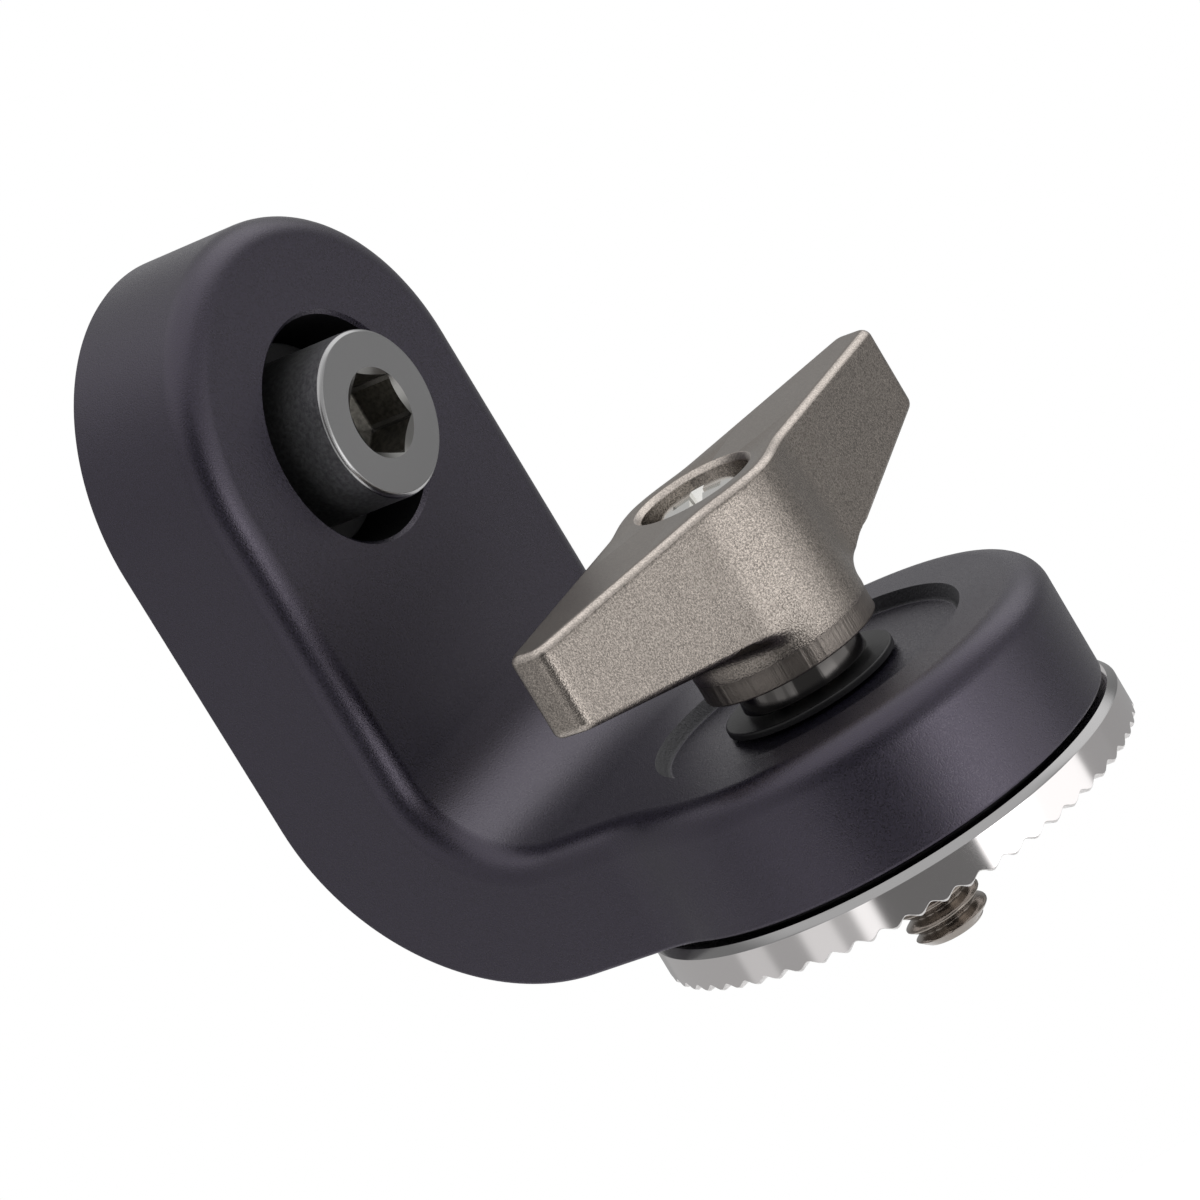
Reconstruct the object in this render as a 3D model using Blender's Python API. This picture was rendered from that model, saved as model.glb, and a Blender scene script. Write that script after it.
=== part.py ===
"""Right-angle swivel bracket with a serrated ring, a locking T-lever and a socket-head cap screw.

Lengths below are in millimetres and turn into metres in the mesh helpers. +Z is up, along the lever's axis.
The origin is on that axis, in the plane of the serration tips.
"""
import math

import bmesh
import bpy
import numpy as np
from mathutils import Matrix, Vector

MM = 0.001

# Clearances
FIT = 0.3
SLIDE_FIT = 0.35

# Right-angle arm
ARM_WIDTH = 33.7
ARM_UPPER_THICK = 11.7
ARM_LOWER_THICK = 10.2
ARM_REACH = 24.4
BEND_OUTER_RADIUS = 18.4
CAP_AXIS_HEIGHT = 30.5
DISC_DIAMETER = 37.7
NECK_BLEND_RADIUS = 12.4
EDGE_ROUND = 2.4
EDGE_CHAMFER = 0.35
RECESS_DIAMETER = 25.3
RECESS_DEPTH = 1.0
RECESS_SLOPE = 0.6

# Serrated ring and the spacer above it
RING_DIAMETER = 39.0
RING_HEIGHT = 3.4
RING_CHAMFER = 0.55
TOOTH_COUNT = 60
TOOTH_HEIGHT = 0.65
TOOTH_EDGE = 0.2
TOOTH_INNER_DIAMETER = 28.4
SHADOW_GAP = 0.4
RING_RIM = 1.6
SPACER_THICK = 0.5
RING_SCREW_CIRCLE = 21.0
RING_SCREW_DIAMETER = 3.0
RING_SCREW_HEAD = 5.5
RING_SCREW_LENGTH = 8.0
DOWEL_DIAMETER = 2.5
DOWEL_LENGTH = 6.0

# Stud, bush, collar insert and snap ring
STUD_DIAMETER = 6.35
STUD_PITCH = 1.27
STUD_THREAD_DEPTH = 0.72
STUD_REACH = 7.8
STUD_NECK_DIAMETER = 5.6
BUSH_FLANGE_DIAMETER = 13.8
BUSH_FLANGE_THICK = 0.55
BUSH_WALL = 1.2
COLLAR_DIAMETER = 10.3
COLLAR_HEIGHT = 1.8
CLIP_THICK = 0.7
CLIP_WIDTH = 1.7
CLIP_BITE = 0.65

# Lever
LEVER_LENGTH = 47.8
LEVER_HEIGHT = 14.3
LEVER_ANGLE = 84.5
LEVER_TIP_WIDTH = 3.4
LEVER_ROOT_WIDTH = 9.0
LEVER_ROOT_AT = 8.0
LEVER_TIP_HEIGHT = 6.8
LEVER_ROOT_RISE = 3.7
LEVER_BOSS_DIAMETER = 14.6
LEVER_CROWN_DIAMETER = 13.0
LEVER_EDGE_ROUND = 0.9
LEVER_LOW_ROUND = 0.6
LEVER_CORNER_ROUND = 1.0
LEVER_ROOT_BLEND = 2.4
LEVER_BORE_DIAMETER = 8.9
LEVER_WEB_THICK = 1.1
SPLINE_TEETH = 12
SPLINE_DIAMETER = 8.3
SPLINE_DEPTH = 0.6
SPLINE_LENGTH = 1.9
SPLINE_RELIEF = 2.2
LIFT_TRAVEL = 2.2

# Lever screw and spring
LEVER_SCREW_DIAMETER = 4.0
LEVER_SCREW_HEAD = 7.6
LEVER_SCREW_HEAD_HEIGHT = 2.5
LEVER_SCREW_SINK = 0.5
LEVER_SCREW_GRIP = 3.4
SPRING_WIRE = 0.5
SPRING_TURNS = 3.5
SPRING_DIAMETER = 6.6

# Cap screw and what sits under its head
CAP_DIAMETER = 8.0
CAP_PITCH = 1.25
CAP_THREAD_DEPTH = 0.7
CAP_HEAD_DIAMETER = 13.0
CAP_HEAD_HEIGHT = 8.0
CAP_HEX = 6.0
CAP_PROUD = 3.4
CAP_LENGTH = 16.0
CBORE_DIAMETER = 17.5
WASHER_DIAMETER = 16.0
WASHER_THICK = 1.0
DISC_SPRING_THICK = 0.8
DISC_SPRING_CONE = 0.4
SLEEVE_WALL = 0.8
RETAINER_DIAMETER = 14.0
RETAINER_THICK = 1.0

# Heights that follow from the sizes above
RING_TOP = RING_HEIGHT
ARM_BOTTOM = RING_TOP + SHADOW_GAP
ARM_TOP = ARM_BOTTOM + ARM_LOWER_THICK
RECESS_FLOOR = ARM_TOP - RECESS_DEPTH
FLANGE_BOTTOM = RECESS_FLOOR + FIT
FLANGE_TOP = FLANGE_BOTTOM + BUSH_FLANGE_THICK
COLLAR_BOTTOM = FLANGE_TOP + SLIDE_FIT
COLLAR_TOP = COLLAR_BOTTOM + COLLAR_HEIGHT
LEVER_BOTTOM = COLLAR_TOP + FIT
LEVER_TOP = LEVER_BOTTOM + LEVER_HEIGHT
INSERT_TOP = COLLAR_TOP + SPLINE_RELIEF + SPLINE_LENGTH
WEB_BOTTOM = INSERT_TOP + FIT
WEB_TOP = WEB_BOTTOM + LEVER_WEB_THICK
SCREW_HEAD_TOP = LEVER_TOP - LEVER_SCREW_SINK
SCREW_HEAD_BOTTOM = SCREW_HEAD_TOP - LEVER_SCREW_HEAD_HEIGHT
SPRING_BOTTOM = WEB_TOP + FIT
SPRING_TOP = SCREW_HEAD_BOTTOM - FIT
LAND = TOOTH_HEIGHT + 0.1
POCKET_FLOOR = ARM_BOTTOM - FIT - SPACER_THICK - FIT
SPACER_BOTTOM = POCKET_FLOOR + FIT
SPACER_TOP = SPACER_BOTTOM + SPACER_THICK
CLIP_TOP = ARM_BOTTOM + 1.9
CLIP_BOTTOM = CLIP_TOP - CLIP_THICK
BUSH_BOTTOM = CLIP_TOP + FIT

# Radii that follow from the sizes above
HALF_WIDTH = ARM_WIDTH / 2.0
DISC_RADIUS = DISC_DIAMETER / 2.0
BEND_INNER_RADIUS = BEND_OUTER_RADIUS - ARM_LOWER_THICK
STUD_RADIUS = STUD_DIAMETER / 2.0
NECK_RADIUS = STUD_NECK_DIAMETER / 2.0
BUSH_BORE = STUD_RADIUS + FIT
BUSH_RADIUS = BUSH_BORE + BUSH_WALL
ARM_BORE = BUSH_RADIUS + FIT
CLIP_GROOVE = NECK_RADIUS - CLIP_BITE
CLIP_INNER = CLIP_GROOVE + FIT
CLIP_RADIUS = CLIP_INNER + CLIP_WIDTH
CLIP_POCKET = CLIP_RADIUS + 1.0
RING_BORE = STUD_RADIUS + 1.0
POCKET_RADIUS = RING_DIAMETER / 2.0 - RING_RIM
SPACER_RADIUS = POCKET_RADIUS - FIT
CAP_RADIUS = CAP_DIAMETER / 2.0
SLEEVE_BORE = CAP_RADIUS + FIT
SLEEVE_RADIUS = SLEEVE_BORE + SLEEVE_WALL
CAP_HOLE = SLEEVE_RADIUS + FIT
INSERT_STUD_BORE = NECK_RADIUS + FIT
INSERT_SCREW_BORE = LEVER_SCREW_DIAMETER / 2.0 + FIT

# Places along the cap screw, measured into the arm from its inner face
CAP_SEAT = CAP_HEAD_HEIGHT - CAP_PROUD
WASHER_START = CAP_SEAT + FIT
WASHER_END = WASHER_START + WASHER_THICK
DISC_START = WASHER_END + FIT
DISC_END = DISC_START + DISC_SPRING_THICK + DISC_SPRING_CONE
CBORE_DEPTH = DISC_END + FIT
RETAINER_START = ARM_UPPER_THICK - RETAINER_THICK - FIT
SLEEVE_START = CBORE_DEPTH + FIT
SLEEVE_END = RETAINER_START - FIT
CAP_POINT = Vector((-ARM_REACH * MM, 0.0, (ARM_TOP + CAP_AXIS_HEIGHT) * MM))


def clear_scene():
    """Remove whatever the start-up file holds."""
    for obj in list(bpy.data.objects):
        bpy.data.objects.remove(obj, do_unlink=True)


def make_material(name, colour, metallic, roughness):
    """Make one Principled material."""
    mat = bpy.data.materials.new(name + "_finish")
    mat.use_nodes = True
    shader = mat.node_tree.nodes["Principled BSDF"]
    shader.inputs["Base Color"].default_value = (*colour, 1.0)
    shader.inputs["Metallic"].default_value = metallic
    shader.inputs["Roughness"].default_value = roughness
    return mat


def add_object(name, mesh, look=None):
    """Link a mesh as an object, with its own material if it is a part of the bracket."""
    obj = bpy.data.objects.new(name, mesh)
    bpy.context.scene.collection.objects.link(obj)
    if look is None:
        obj.hide_render = True
        obj.display_type = "WIRE"
    else:
        mesh.materials.append(make_material(name, *look))
    return obj


def mesh_from(name, verts, faces):
    """Make a mesh in metres from millimetre points, with its faces pointing out."""
    mesh = bpy.data.meshes.new(name)
    bm = bmesh.new()
    made = [bm.verts.new(Vector(v) * MM) for v in verts]
    for face in faces:
        bm.faces.new([made[i] for i in face])
    bmesh.ops.recalc_face_normals(bm, faces=bm.faces)
    bm.to_mesh(mesh)
    bm.free()
    return mesh


def grid_faces(rows, count, closed):
    """List the faces that join a stack of closed loops, capped or joined end to end."""
    faces = []
    last = rows if closed else rows - 1
    for k in range(last):
        a = k * count
        b = ((k + 1) % rows) * count
        for j in range(count):
            n = (j + 1) % count
            faces.append((a + j, a + n, b + n, b + j))
    if not closed:
        faces.append(tuple(range(count - 1, -1, -1)))
        faces.append(tuple(range((rows - 1) * count, rows * count)))
    return faces


def grid_body(name, loops, look=None, closed=False):
    """Make a closed body from a stack of loops that have the same number of points."""
    loops = np.asarray(loops, dtype=float)
    rows, count = loops.shape[:2]
    mesh = mesh_from(name, loops.reshape(-1, 3), grid_faces(rows, count, closed))
    return add_object(name, mesh, look)


def circle(radius, height, steps, twist=0.0):
    """Return a circle of points about Z, its first point turned from X by twist."""
    t = np.arange(steps) * 2.0 * math.pi / steps + twist
    return np.stack([radius * np.cos(t), radius * np.sin(t), np.full(steps, height)], axis=1)


def lathe(name, profile, steps, look=None, closed=False, twist=0.0):
    """Turn a profile of radius and height pairs about Z."""
    return grid_body(name, [circle(r, z, steps, twist) for r, z in profile], look, closed)


def turn_to_cap(obj):
    """Turn a body made along Z so that its Z runs out of the upper arm along X, and place it there."""
    obj.data.transform(Matrix.Rotation(math.pi / 2.0, 4, "Y"))
    obj.location = CAP_POINT
    return obj


def cut(obj, cutters):
    """Cut bodies out of an object."""
    for cutter in cutters:
        mod = obj.modifiers.new("cut_" + cutter.name, "BOOLEAN")
        mod.operation = "DIFFERENCE"
        mod.solver = "EXACT"
        mod.object = cutter
    return obj


def place(obj, x, y, z):
    """Move an object to a place given in millimetres."""
    obj.location = (x * MM, y * MM, z * MM)
    return obj


def thread_radius(outer, depth, pitch, height, angles):
    """Return a rounded thread's radius at one height for each angle."""
    phase = (height / pitch - angles / (2.0 * math.pi)) % 1.0
    wave = np.clip(1.15 - np.abs(phase - 0.5) * 4.6, -1.0, 1.0) * 0.5 + 0.5
    return outer - depth * (1.0 - wave)


def threaded_loops(outer, depth, pitch, start, end, steps, per_pitch, lead):
    """Return loops of a thread from start to end, with a tapered lead-in at the end."""
    angles = np.arange(steps) * 2.0 * math.pi / steps
    count = int(round(abs(end - start) / pitch * per_pitch))
    loops = []
    for i in range(count + 1):
        height = start + (end - start) * i / count
        radius = thread_radius(outer, depth, pitch, height, angles)
        room = abs(end - height)
        radius = np.minimum(radius, outer - depth - 0.15 + min(room, lead) / lead * (depth + 0.15))
        loops.append(np.stack([radius * np.cos(angles), radius * np.sin(angles), np.full(steps, height)], axis=1))
    return loops


def arm_half_outline():
    """List one side of the arm from the top of the upper arm to the front of the disc.

    Each entry holds the inner edge point, the outer edge point, the outward side direction and a zone name.
    """
    inner_x = -ARM_REACH
    outer_x = inner_x - ARM_UPPER_THICK
    axis_z = ARM_TOP + CAP_AXIS_HEIGHT
    entries = []

    def upper(y, z, side):
        entries.append(((inner_x, y, z), (outer_x, y, z), side, "upper"))

    def lower(x, y, side):
        entries.append(((x, y, ARM_TOP), (x, y, ARM_BOTTOM), side, "lower"))

    for i in range(13):
        t = math.pi / 2.0 * (1.0 - i / 12.0)
        side = (0.0, math.cos(t), math.sin(t))
        upper(HALF_WIDTH * side[1], axis_z + HALF_WIDTH * side[2], side)
    centre_in = (inner_x + BEND_INNER_RADIUS, ARM_TOP + BEND_INNER_RADIUS)
    centre_out = (outer_x + BEND_OUTER_RADIUS, ARM_BOTTOM + BEND_OUTER_RADIUS)
    for i in range(11):
        t = math.pi / 2.0 * i / 10.0
        c, s = math.cos(t), math.sin(t)
        near = (centre_in[0] - BEND_INNER_RADIUS * c, HALF_WIDTH, centre_in[1] - BEND_INNER_RADIUS * s)
        far = (centre_out[0] - BEND_OUTER_RADIUS * c, HALF_WIDTH, centre_out[1] - BEND_OUTER_RADIUS * s)
        entries.append((near, far, (0.0, 1.0, 0.0), "bend"))
    blend_y = HALF_WIDTH + NECK_BLEND_RADIUS
    reach = DISC_RADIUS + NECK_BLEND_RADIUS
    blend_x = -math.sqrt(max(reach * reach - blend_y * blend_y, 0.0))
    swing = math.atan2(-blend_x, blend_y)
    for i in range(6):
        t = swing * i / 5.0
        side = (-math.sin(t), math.cos(t), 0.0)
        lower(blend_x - NECK_BLEND_RADIUS * side[0], blend_y - NECK_BLEND_RADIUS * side[1], side)
    for i in range(1, 25):
        t = math.pi / 2.0 + swing - (math.pi / 2.0 + swing) * i / 24.0
        side = (math.cos(t), math.sin(t), 0.0)
        lower(DISC_RADIUS * side[0], DISC_RADIUS * side[1], side)
    return entries


def make_arm():
    """Make the right-angle arm as one closed body with rounded inner edges and crisp outer edges."""
    half = arm_half_outline()
    other = []
    for near, far, side, zone in half[-2:0:-1]:
        flip = np.array([1.0, -1.0, 1.0])
        other.append((np.array(near) * flip, np.array(far) * flip, np.array(side) * flip, zone))
    outline = half + other
    rows = []
    for step in range(5):
        t = math.pi / 2.0 * step / 4.0
        rows.append((EDGE_ROUND * (1.0 - math.sin(t)), EDGE_ROUND * (1.0 - math.cos(t)), False))
    rows.append((0.0, EDGE_CHAMFER, True))
    rows.append((EDGE_CHAMFER, 0.0, True))
    loops = []
    for inset, depth, from_back in rows:
        loop = []
        for near, far, side, _zone in outline:
            near, far, side = np.array(near), np.array(far), np.array(side)
            length = np.linalg.norm(far - near)
            share = (length - depth if from_back else depth) / length
            loop.append(near + (far - near) * share - side * inset)
        loops.append(loop)
    loops = np.array(loops)
    count = len(outline)
    faces = grid_faces(len(loops), count, False)[:-2]
    zones = [entry[3] for entry in half]
    first = zones.index("bend")
    last = len(zones) - 1 - zones[::-1].index("bend")
    for base, reverse in ((0, False), ((len(loops) - 1) * count, True)):
        mirror = [(count - i) % count for i in range(count)]
        upper = [mirror[i] for i in range(first, 0, -1)] + list(range(0, first + 1))
        lower = list(range(last, len(half))) + [mirror[i] for i in range(len(half) - 2, last - 1, -1)]
        patches = [upper, lower]
        for i in range(first, last):
            patches.append([i, i + 1, mirror[i + 1], mirror[i]])
        for patch in patches:
            ids = [base + i for i in patch]
            faces.append(tuple(reversed(ids)) if reverse else tuple(ids))
    mesh = mesh_from("bracket_arm", loops.reshape(-1, 3), faces)
    return add_object("bracket_arm", mesh, ((0.035, 0.033, 0.04), 0.6, 0.45))


def ring_places():
    """Return the angles of the ring's screws and dowels."""
    screws = [math.radians(45.0 + 90.0 * i) for i in range(4)]
    dowels = [0.0, math.pi]
    return screws, dowels


def pattern_cutters(prefix, screw_profile, dowel_profile):
    """Make one cutter for each ring screw and dowel from turned profiles."""
    screws, dowels = ring_places()
    made = []
    radius = RING_SCREW_CIRCLE / 2.0
    for i, t in enumerate(screws):
        body = lathe(f"{prefix}_screw_hole_{i + 1}", screw_profile, 20, twist=0.07)
        made.append(place(body, radius * math.cos(t), radius * math.sin(t), 0.0))
    for i, t in enumerate(dowels):
        body = lathe(f"{prefix}_dowel_hole_{i + 1}", dowel_profile, 16, twist=0.07)
        made.append(place(body, radius * math.cos(t), radius * math.sin(t), 0.0))
    return made


def cut_arm(arm):
    """Cut the recess, bores, counterbore and blind holes into the arm."""
    top = RECESS_DIAMETER / 2.0
    recess = [
        (CLIP_POCKET, ARM_BOTTOM - 1.0),
        (CLIP_POCKET, BUSH_BOTTOM - FIT),
        (ARM_BORE, BUSH_BOTTOM - FIT),
        (ARM_BORE, RECESS_FLOOR),
        (top - RECESS_SLOPE, RECESS_FLOOR),
        (top, ARM_TOP),
        (top, ARM_TOP + 1.0),
    ]
    bore = lathe("cut_arm_bore", recess, 56)
    wall = CBORE_DIAMETER / 2.0
    pocket = RETAINER_DIAMETER / 2.0 + FIT
    hole = [
        (pocket, -ARM_UPPER_THICK - 1.0),
        (pocket, -RETAINER_START),
        (CAP_HOLE, -RETAINER_START),
        (CAP_HOLE, -CBORE_DEPTH),
        (wall, -CBORE_DEPTH),
        (wall, -0.25),
        (wall + 0.25, 0.0),
        (wall + 0.25, 1.0),
    ]
    counterbore = turn_to_cap(lathe("cut_arm_counterbore", hole, 48))
    deep = ARM_BOTTOM + RING_SCREW_LENGTH - (ARM_BOTTOM - LAND) + FIT
    screw = RING_SCREW_DIAMETER / 2.0 + FIT
    pin = DOWEL_DIAMETER / 2.0 + FIT
    pin_top = POCKET_FLOOR - 1.2 + DOWEL_LENGTH + FIT
    holes = pattern_cutters(
        "cut_arm",
        [(screw, ARM_BOTTOM - 1.0), (screw, deep)],
        [(pin, ARM_BOTTOM - 1.0), (pin, pin_top)],
    )
    return cut(arm, [bore, counterbore] + holes)


def make_ring():
    """Make the serrated ring with its pocket, screw holes and dowel holes."""
    per_tooth = 4
    steps = TOOTH_COUNT * per_tooth
    t = np.arange(steps) * 2.0 * math.pi / steps
    tooth = 0.5 - 0.5 * np.cos(t * TOOTH_COUNT)
    outer = RING_DIAMETER / 2.0
    inner = TOOTH_INNER_DIAMETER / 2.0
    pocket = POCKET_RADIUS
    dip = TOOTH_HEIGHT * (1.0 - tooth)
    flat = np.ones(steps)
    profile = [
        (inner - 0.4, LAND * flat),
        (inner, dip),
        (outer - TOOTH_EDGE, dip),
        (outer, TOOTH_EDGE + dip * (1.0 - TOOTH_EDGE / TOOTH_HEIGHT)),
        (outer, (RING_TOP - RING_CHAMFER) * flat),
        (outer - RING_CHAMFER, RING_TOP * flat),
        (pocket, RING_TOP * flat),
        (pocket, POCKET_FLOOR * flat),
    ]
    loops = [np.stack([r * np.cos(t), r * np.sin(t), z], axis=1) for r, z in profile]
    verts = np.concatenate(loops)
    faces = grid_faces(len(loops), steps, False)[:-2]
    bore_steps = 40
    bore_low = len(verts)
    verts = np.concatenate([verts, circle(RING_BORE, LAND, bore_steps), circle(RING_BORE, POCKET_FLOOR, bore_steps)])
    bore_high = bore_low + bore_steps
    for j in range(bore_steps):
        n = (j + 1) % bore_steps
        faces.append((bore_low + j, bore_low + n, bore_high + n, bore_high + j))
    for rim, bore, flip in ((0, bore_low, False), ((len(loops) - 1) * steps, bore_high, True)):
        for half in range(2):
            rim_ids = [rim + (half * steps // 2 + i) % steps for i in range(steps // 2 + 1)]
            bore_ids = [bore + (half * bore_steps // 2 + i) % bore_steps for i in range(bore_steps // 2 + 1)]
            patch = rim_ids + bore_ids[::-1]
            faces.append(tuple(reversed(patch)) if flip else tuple(patch))
    mesh = mesh_from("rosette_ring", verts, faces)
    ring = add_object("rosette_ring", mesh, ((0.78, 0.78, 0.79), 1.0, 0.2))
    head = RING_SCREW_HEAD / 2.0 + FIT
    screw = RING_SCREW_DIAMETER / 2.0 + FIT
    seat = LAND + FIT + 0.15 + FIT * 0.4
    pin = DOWEL_DIAMETER / 2.0 + FIT
    holes = pattern_cutters(
        "cut_ring",
        [(head, LAND - 1.0), (head, seat), (screw, seat + head - screw), (screw, ARM_BOTTOM)],
        [(pin, POCKET_FLOOR - 1.2 - FIT), (pin, ARM_BOTTOM)],
    )
    return cut(ring, holes)


def make_spacer():
    """Make the thin black spacer that lies in the ring's pocket."""
    inner = CLIP_POCKET
    outer = SPACER_RADIUS
    profile = [(inner, SPACER_BOTTOM), (outer, SPACER_BOTTOM), (outer, SPACER_TOP), (inner, SPACER_TOP)]
    spacer = lathe("rosette_spacer", profile, 56, ((0.01, 0.01, 0.01), 0.0, 0.6), closed=True)
    screw = RING_SCREW_DIAMETER / 2.0 + FIT
    pin = DOWEL_DIAMETER / 2.0 + FIT
    span = (SPACER_BOTTOM - 1.0, SPACER_TOP + 1.0)
    holes = pattern_cutters(
        "cut_spacer",
        [(screw, span[0]), (screw, span[1])],
        [(pin, span[0]), (pin, span[1])],
    )
    return cut(spacer, holes)


def make_ring_fixings():
    """Make the countersunk screws and dowels between ring and arm."""
    screws, dowels = ring_places()
    radius = RING_SCREW_CIRCLE / 2.0
    head = RING_SCREW_HEAD / 2.0
    shank = RING_SCREW_DIAMETER / 2.0
    sink = FIT
    low = LAND + sink
    profile = [
        (head - 0.15, low),
        (head, low + 0.15),
        (shank, low + 0.15 + head - shank),
        (shank, LAND + RING_SCREW_LENGTH - 0.4),
        (shank - 0.4, LAND + RING_SCREW_LENGTH),
    ]
    for i, t in enumerate(screws):
        x, y = radius * math.cos(t), radius * math.sin(t)
        body = place(lathe(f"rosette_screw_{i + 1}", profile, 20, ((0.5, 0.5, 0.5), 1.0, 0.3)), x, y, 0.0)
        hexagon = lathe(f"cut_rosette_screw_{i + 1}", [(1.15, low - 0.5), (1.15, low + 1.0)], 6)
        cut(body, [place(hexagon, x, y, 0.0)])
    pin = DOWEL_DIAMETER / 2.0
    start = POCKET_FLOOR - 1.2
    end = start + DOWEL_LENGTH
    profile = [(pin - 0.3, start), (pin, start + 0.3), (pin, end - 0.3), (pin - 0.3, end)]
    for i, t in enumerate(dowels):
        body = lathe(f"dowel_pin_{i + 1}", profile, 16, ((0.55, 0.55, 0.56), 1.0, 0.25))
        place(body, radius * math.cos(t), radius * math.sin(t), 0.0)


def make_bush():
    """Make the black flanged bush that guides the stud."""
    flange = BUSH_FLANGE_DIAMETER / 2.0
    profile = [
        (BUSH_BORE, BUSH_BOTTOM),
        (BUSH_RADIUS, BUSH_BOTTOM),
        (BUSH_RADIUS, FLANGE_BOTTOM),
        (flange, FLANGE_BOTTOM),
        (flange, FLANGE_TOP - 0.15),
        (flange - 0.25, FLANGE_TOP),
        (BUSH_BORE, FLANGE_TOP),
    ]
    return lathe("guide_bush", profile, 40, ((0.012, 0.012, 0.013), 0.0, 0.5), closed=True)


def spline_radius(extra, angles):
    """Return the serration radius on the insert for each angle, grown by a clearance."""
    wave = 0.5 + 0.5 * np.cos(angles * SPLINE_TEETH)
    return SPLINE_DIAMETER / 2.0 - SPLINE_DEPTH * (1.0 - wave) + extra


def make_insert():
    """Make the steel collar insert: collar, relief and serrated head."""
    steps = SPLINE_TEETH * 4
    t = np.arange(steps) * 2.0 * math.pi / steps + math.radians(LEVER_ANGLE)
    collar = COLLAR_DIAMETER / 2.0
    relief = SPLINE_DIAMETER / 2.0 - SPLINE_DEPTH - 0.1
    spline_low = COLLAR_TOP + SPLINE_RELIEF
    shelf = COLLAR_TOP + 0.6
    flat = np.ones(steps)
    spline = spline_radius(0.0, t - math.radians(LEVER_ANGLE))
    profile = [
        (INSERT_STUD_BORE * flat, COLLAR_BOTTOM),
        ((collar - 0.2) * flat, COLLAR_BOTTOM),
        (collar * flat, COLLAR_BOTTOM + 0.2),
        (collar * flat, COLLAR_TOP - 0.15),
        ((collar - 0.15) * flat, COLLAR_TOP),
        (relief * flat, COLLAR_TOP),
        (relief * flat, spline_low),
        (spline, spline_low),
        (spline, INSERT_TOP),
        (INSERT_SCREW_BORE * flat, INSERT_TOP),
        (INSERT_SCREW_BORE * flat, shelf),
        (INSERT_STUD_BORE * flat, shelf),
    ]
    loops = [np.stack([r * np.cos(t), r * np.sin(t), z * flat], axis=1) for r, z in profile]
    return grid_body("lever_insert", loops, ((0.3, 0.3, 0.31), 1.0, 0.2), closed=True)


def make_stud():
    """Make the threaded stud with a plain neck, a snap-ring groove and a plain top end."""
    steps = 20
    groove_low = CLIP_BOTTOM - FIT
    groove_high = CLIP_TOP + FIT
    thread_start = groove_low - 0.5
    loops = [
        circle(NECK_RADIUS - 0.3, COLLAR_TOP + 0.3, steps),
        circle(NECK_RADIUS, COLLAR_TOP, steps),
        circle(NECK_RADIUS, groove_high, steps),
        circle(CLIP_GROOVE, groove_high, steps),
        circle(CLIP_GROOVE, groove_low, steps),
        circle(NECK_RADIUS - 0.3, groove_low, steps),
        circle(NECK_RADIUS - 0.3, thread_start + 0.2, steps),
    ]
    loops += threaded_loops(STUD_RADIUS, STUD_THREAD_DEPTH, STUD_PITCH, thread_start, -STUD_REACH, steps, 5, 0.8)
    return grid_body("clamp_stud", loops, ((0.52, 0.5, 0.47), 1.0, 0.25))


def make_clip():
    """Make the open snap ring that sits in the stud's groove."""
    angles = np.linspace(math.radians(35.0), math.radians(325.0), 25)
    outer = [(CLIP_RADIUS * math.cos(a), CLIP_RADIUS * math.sin(a)) for a in angles]
    inner = [(CLIP_INNER * math.cos(a), CLIP_INNER * math.sin(a)) for a in angles[::-1]]
    outline = np.array(outer + inner)
    loops = []
    for z in (CLIP_BOTTOM, CLIP_TOP):
        loops.append(np.column_stack([outline, np.full(len(outline), z)]))
    return grid_body("stud_clip", loops, ((0.3, 0.3, 0.3), 1.0, 0.35))


def lever_boss_radius(height):
    """Return the cast boss radius at a height: it narrows a little toward the top."""
    share = (height - LEVER_BOTTOM) / LEVER_HEIGHT
    return (LEVER_BOSS_DIAMETER + (LEVER_CROWN_DIAMETER - LEVER_BOSS_DIAMETER) * share) / 2.0


def lever_underside():
    """Return where the wings' sloping underside starts and ends: distance and height at both."""
    root_z = LEVER_BOTTOM + LEVER_ROOT_RISE
    tip_z = LEVER_TOP - LEVER_TIP_HEIGHT
    return lever_boss_radius(root_z), root_z, LEVER_LENGTH / 2.0, tip_z


def round_off(depth, radius):
    """Return how far a rounded edge stands back at a depth from the face it rounds into."""
    left = np.clip(radius - depth, 0.0, radius)
    return radius - np.sqrt(radius * radius - left * left)


def lever_reach(height):
    """Return how far the wings reach from the axis at a height, with a rounded lower tip."""
    start, root_z, full, tip_z = lever_underside()
    slope = start + (full - start) * (height - root_z) / (tip_z - root_z)
    return min(slope, full - round_off(height - tip_z, LEVER_LOW_ROUND))


def lever_half_width(along, height, inset):
    """Return the lever's half width at distances along it, blending the wings into the round boss."""
    start, root_z, full, tip_z = lever_underside()
    tip = LEVER_TIP_WIDTH / 2.0
    root = LEVER_ROOT_WIDTH / 2.0
    boss = lever_boss_radius(height) - inset
    low = root_z + (tip_z - root_z) * (along - start) / (full - start)
    wing = tip + (root - tip) * (full - along) / (full - LEVER_ROOT_AT) - inset
    wing = wing - round_off(np.maximum(height - low, 0.0), LEVER_LOW_ROUND)
    disc = np.sqrt(np.maximum(boss * boss - along * along, 0.0))
    mix = np.clip(0.5 + 0.5 * (disc - wing) / LEVER_ROOT_BLEND, 0.0, 1.0)
    return wing * (1.0 - mix) + disc * mix + LEVER_ROOT_BLEND * mix * (1.0 - mix) * 0.5


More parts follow.
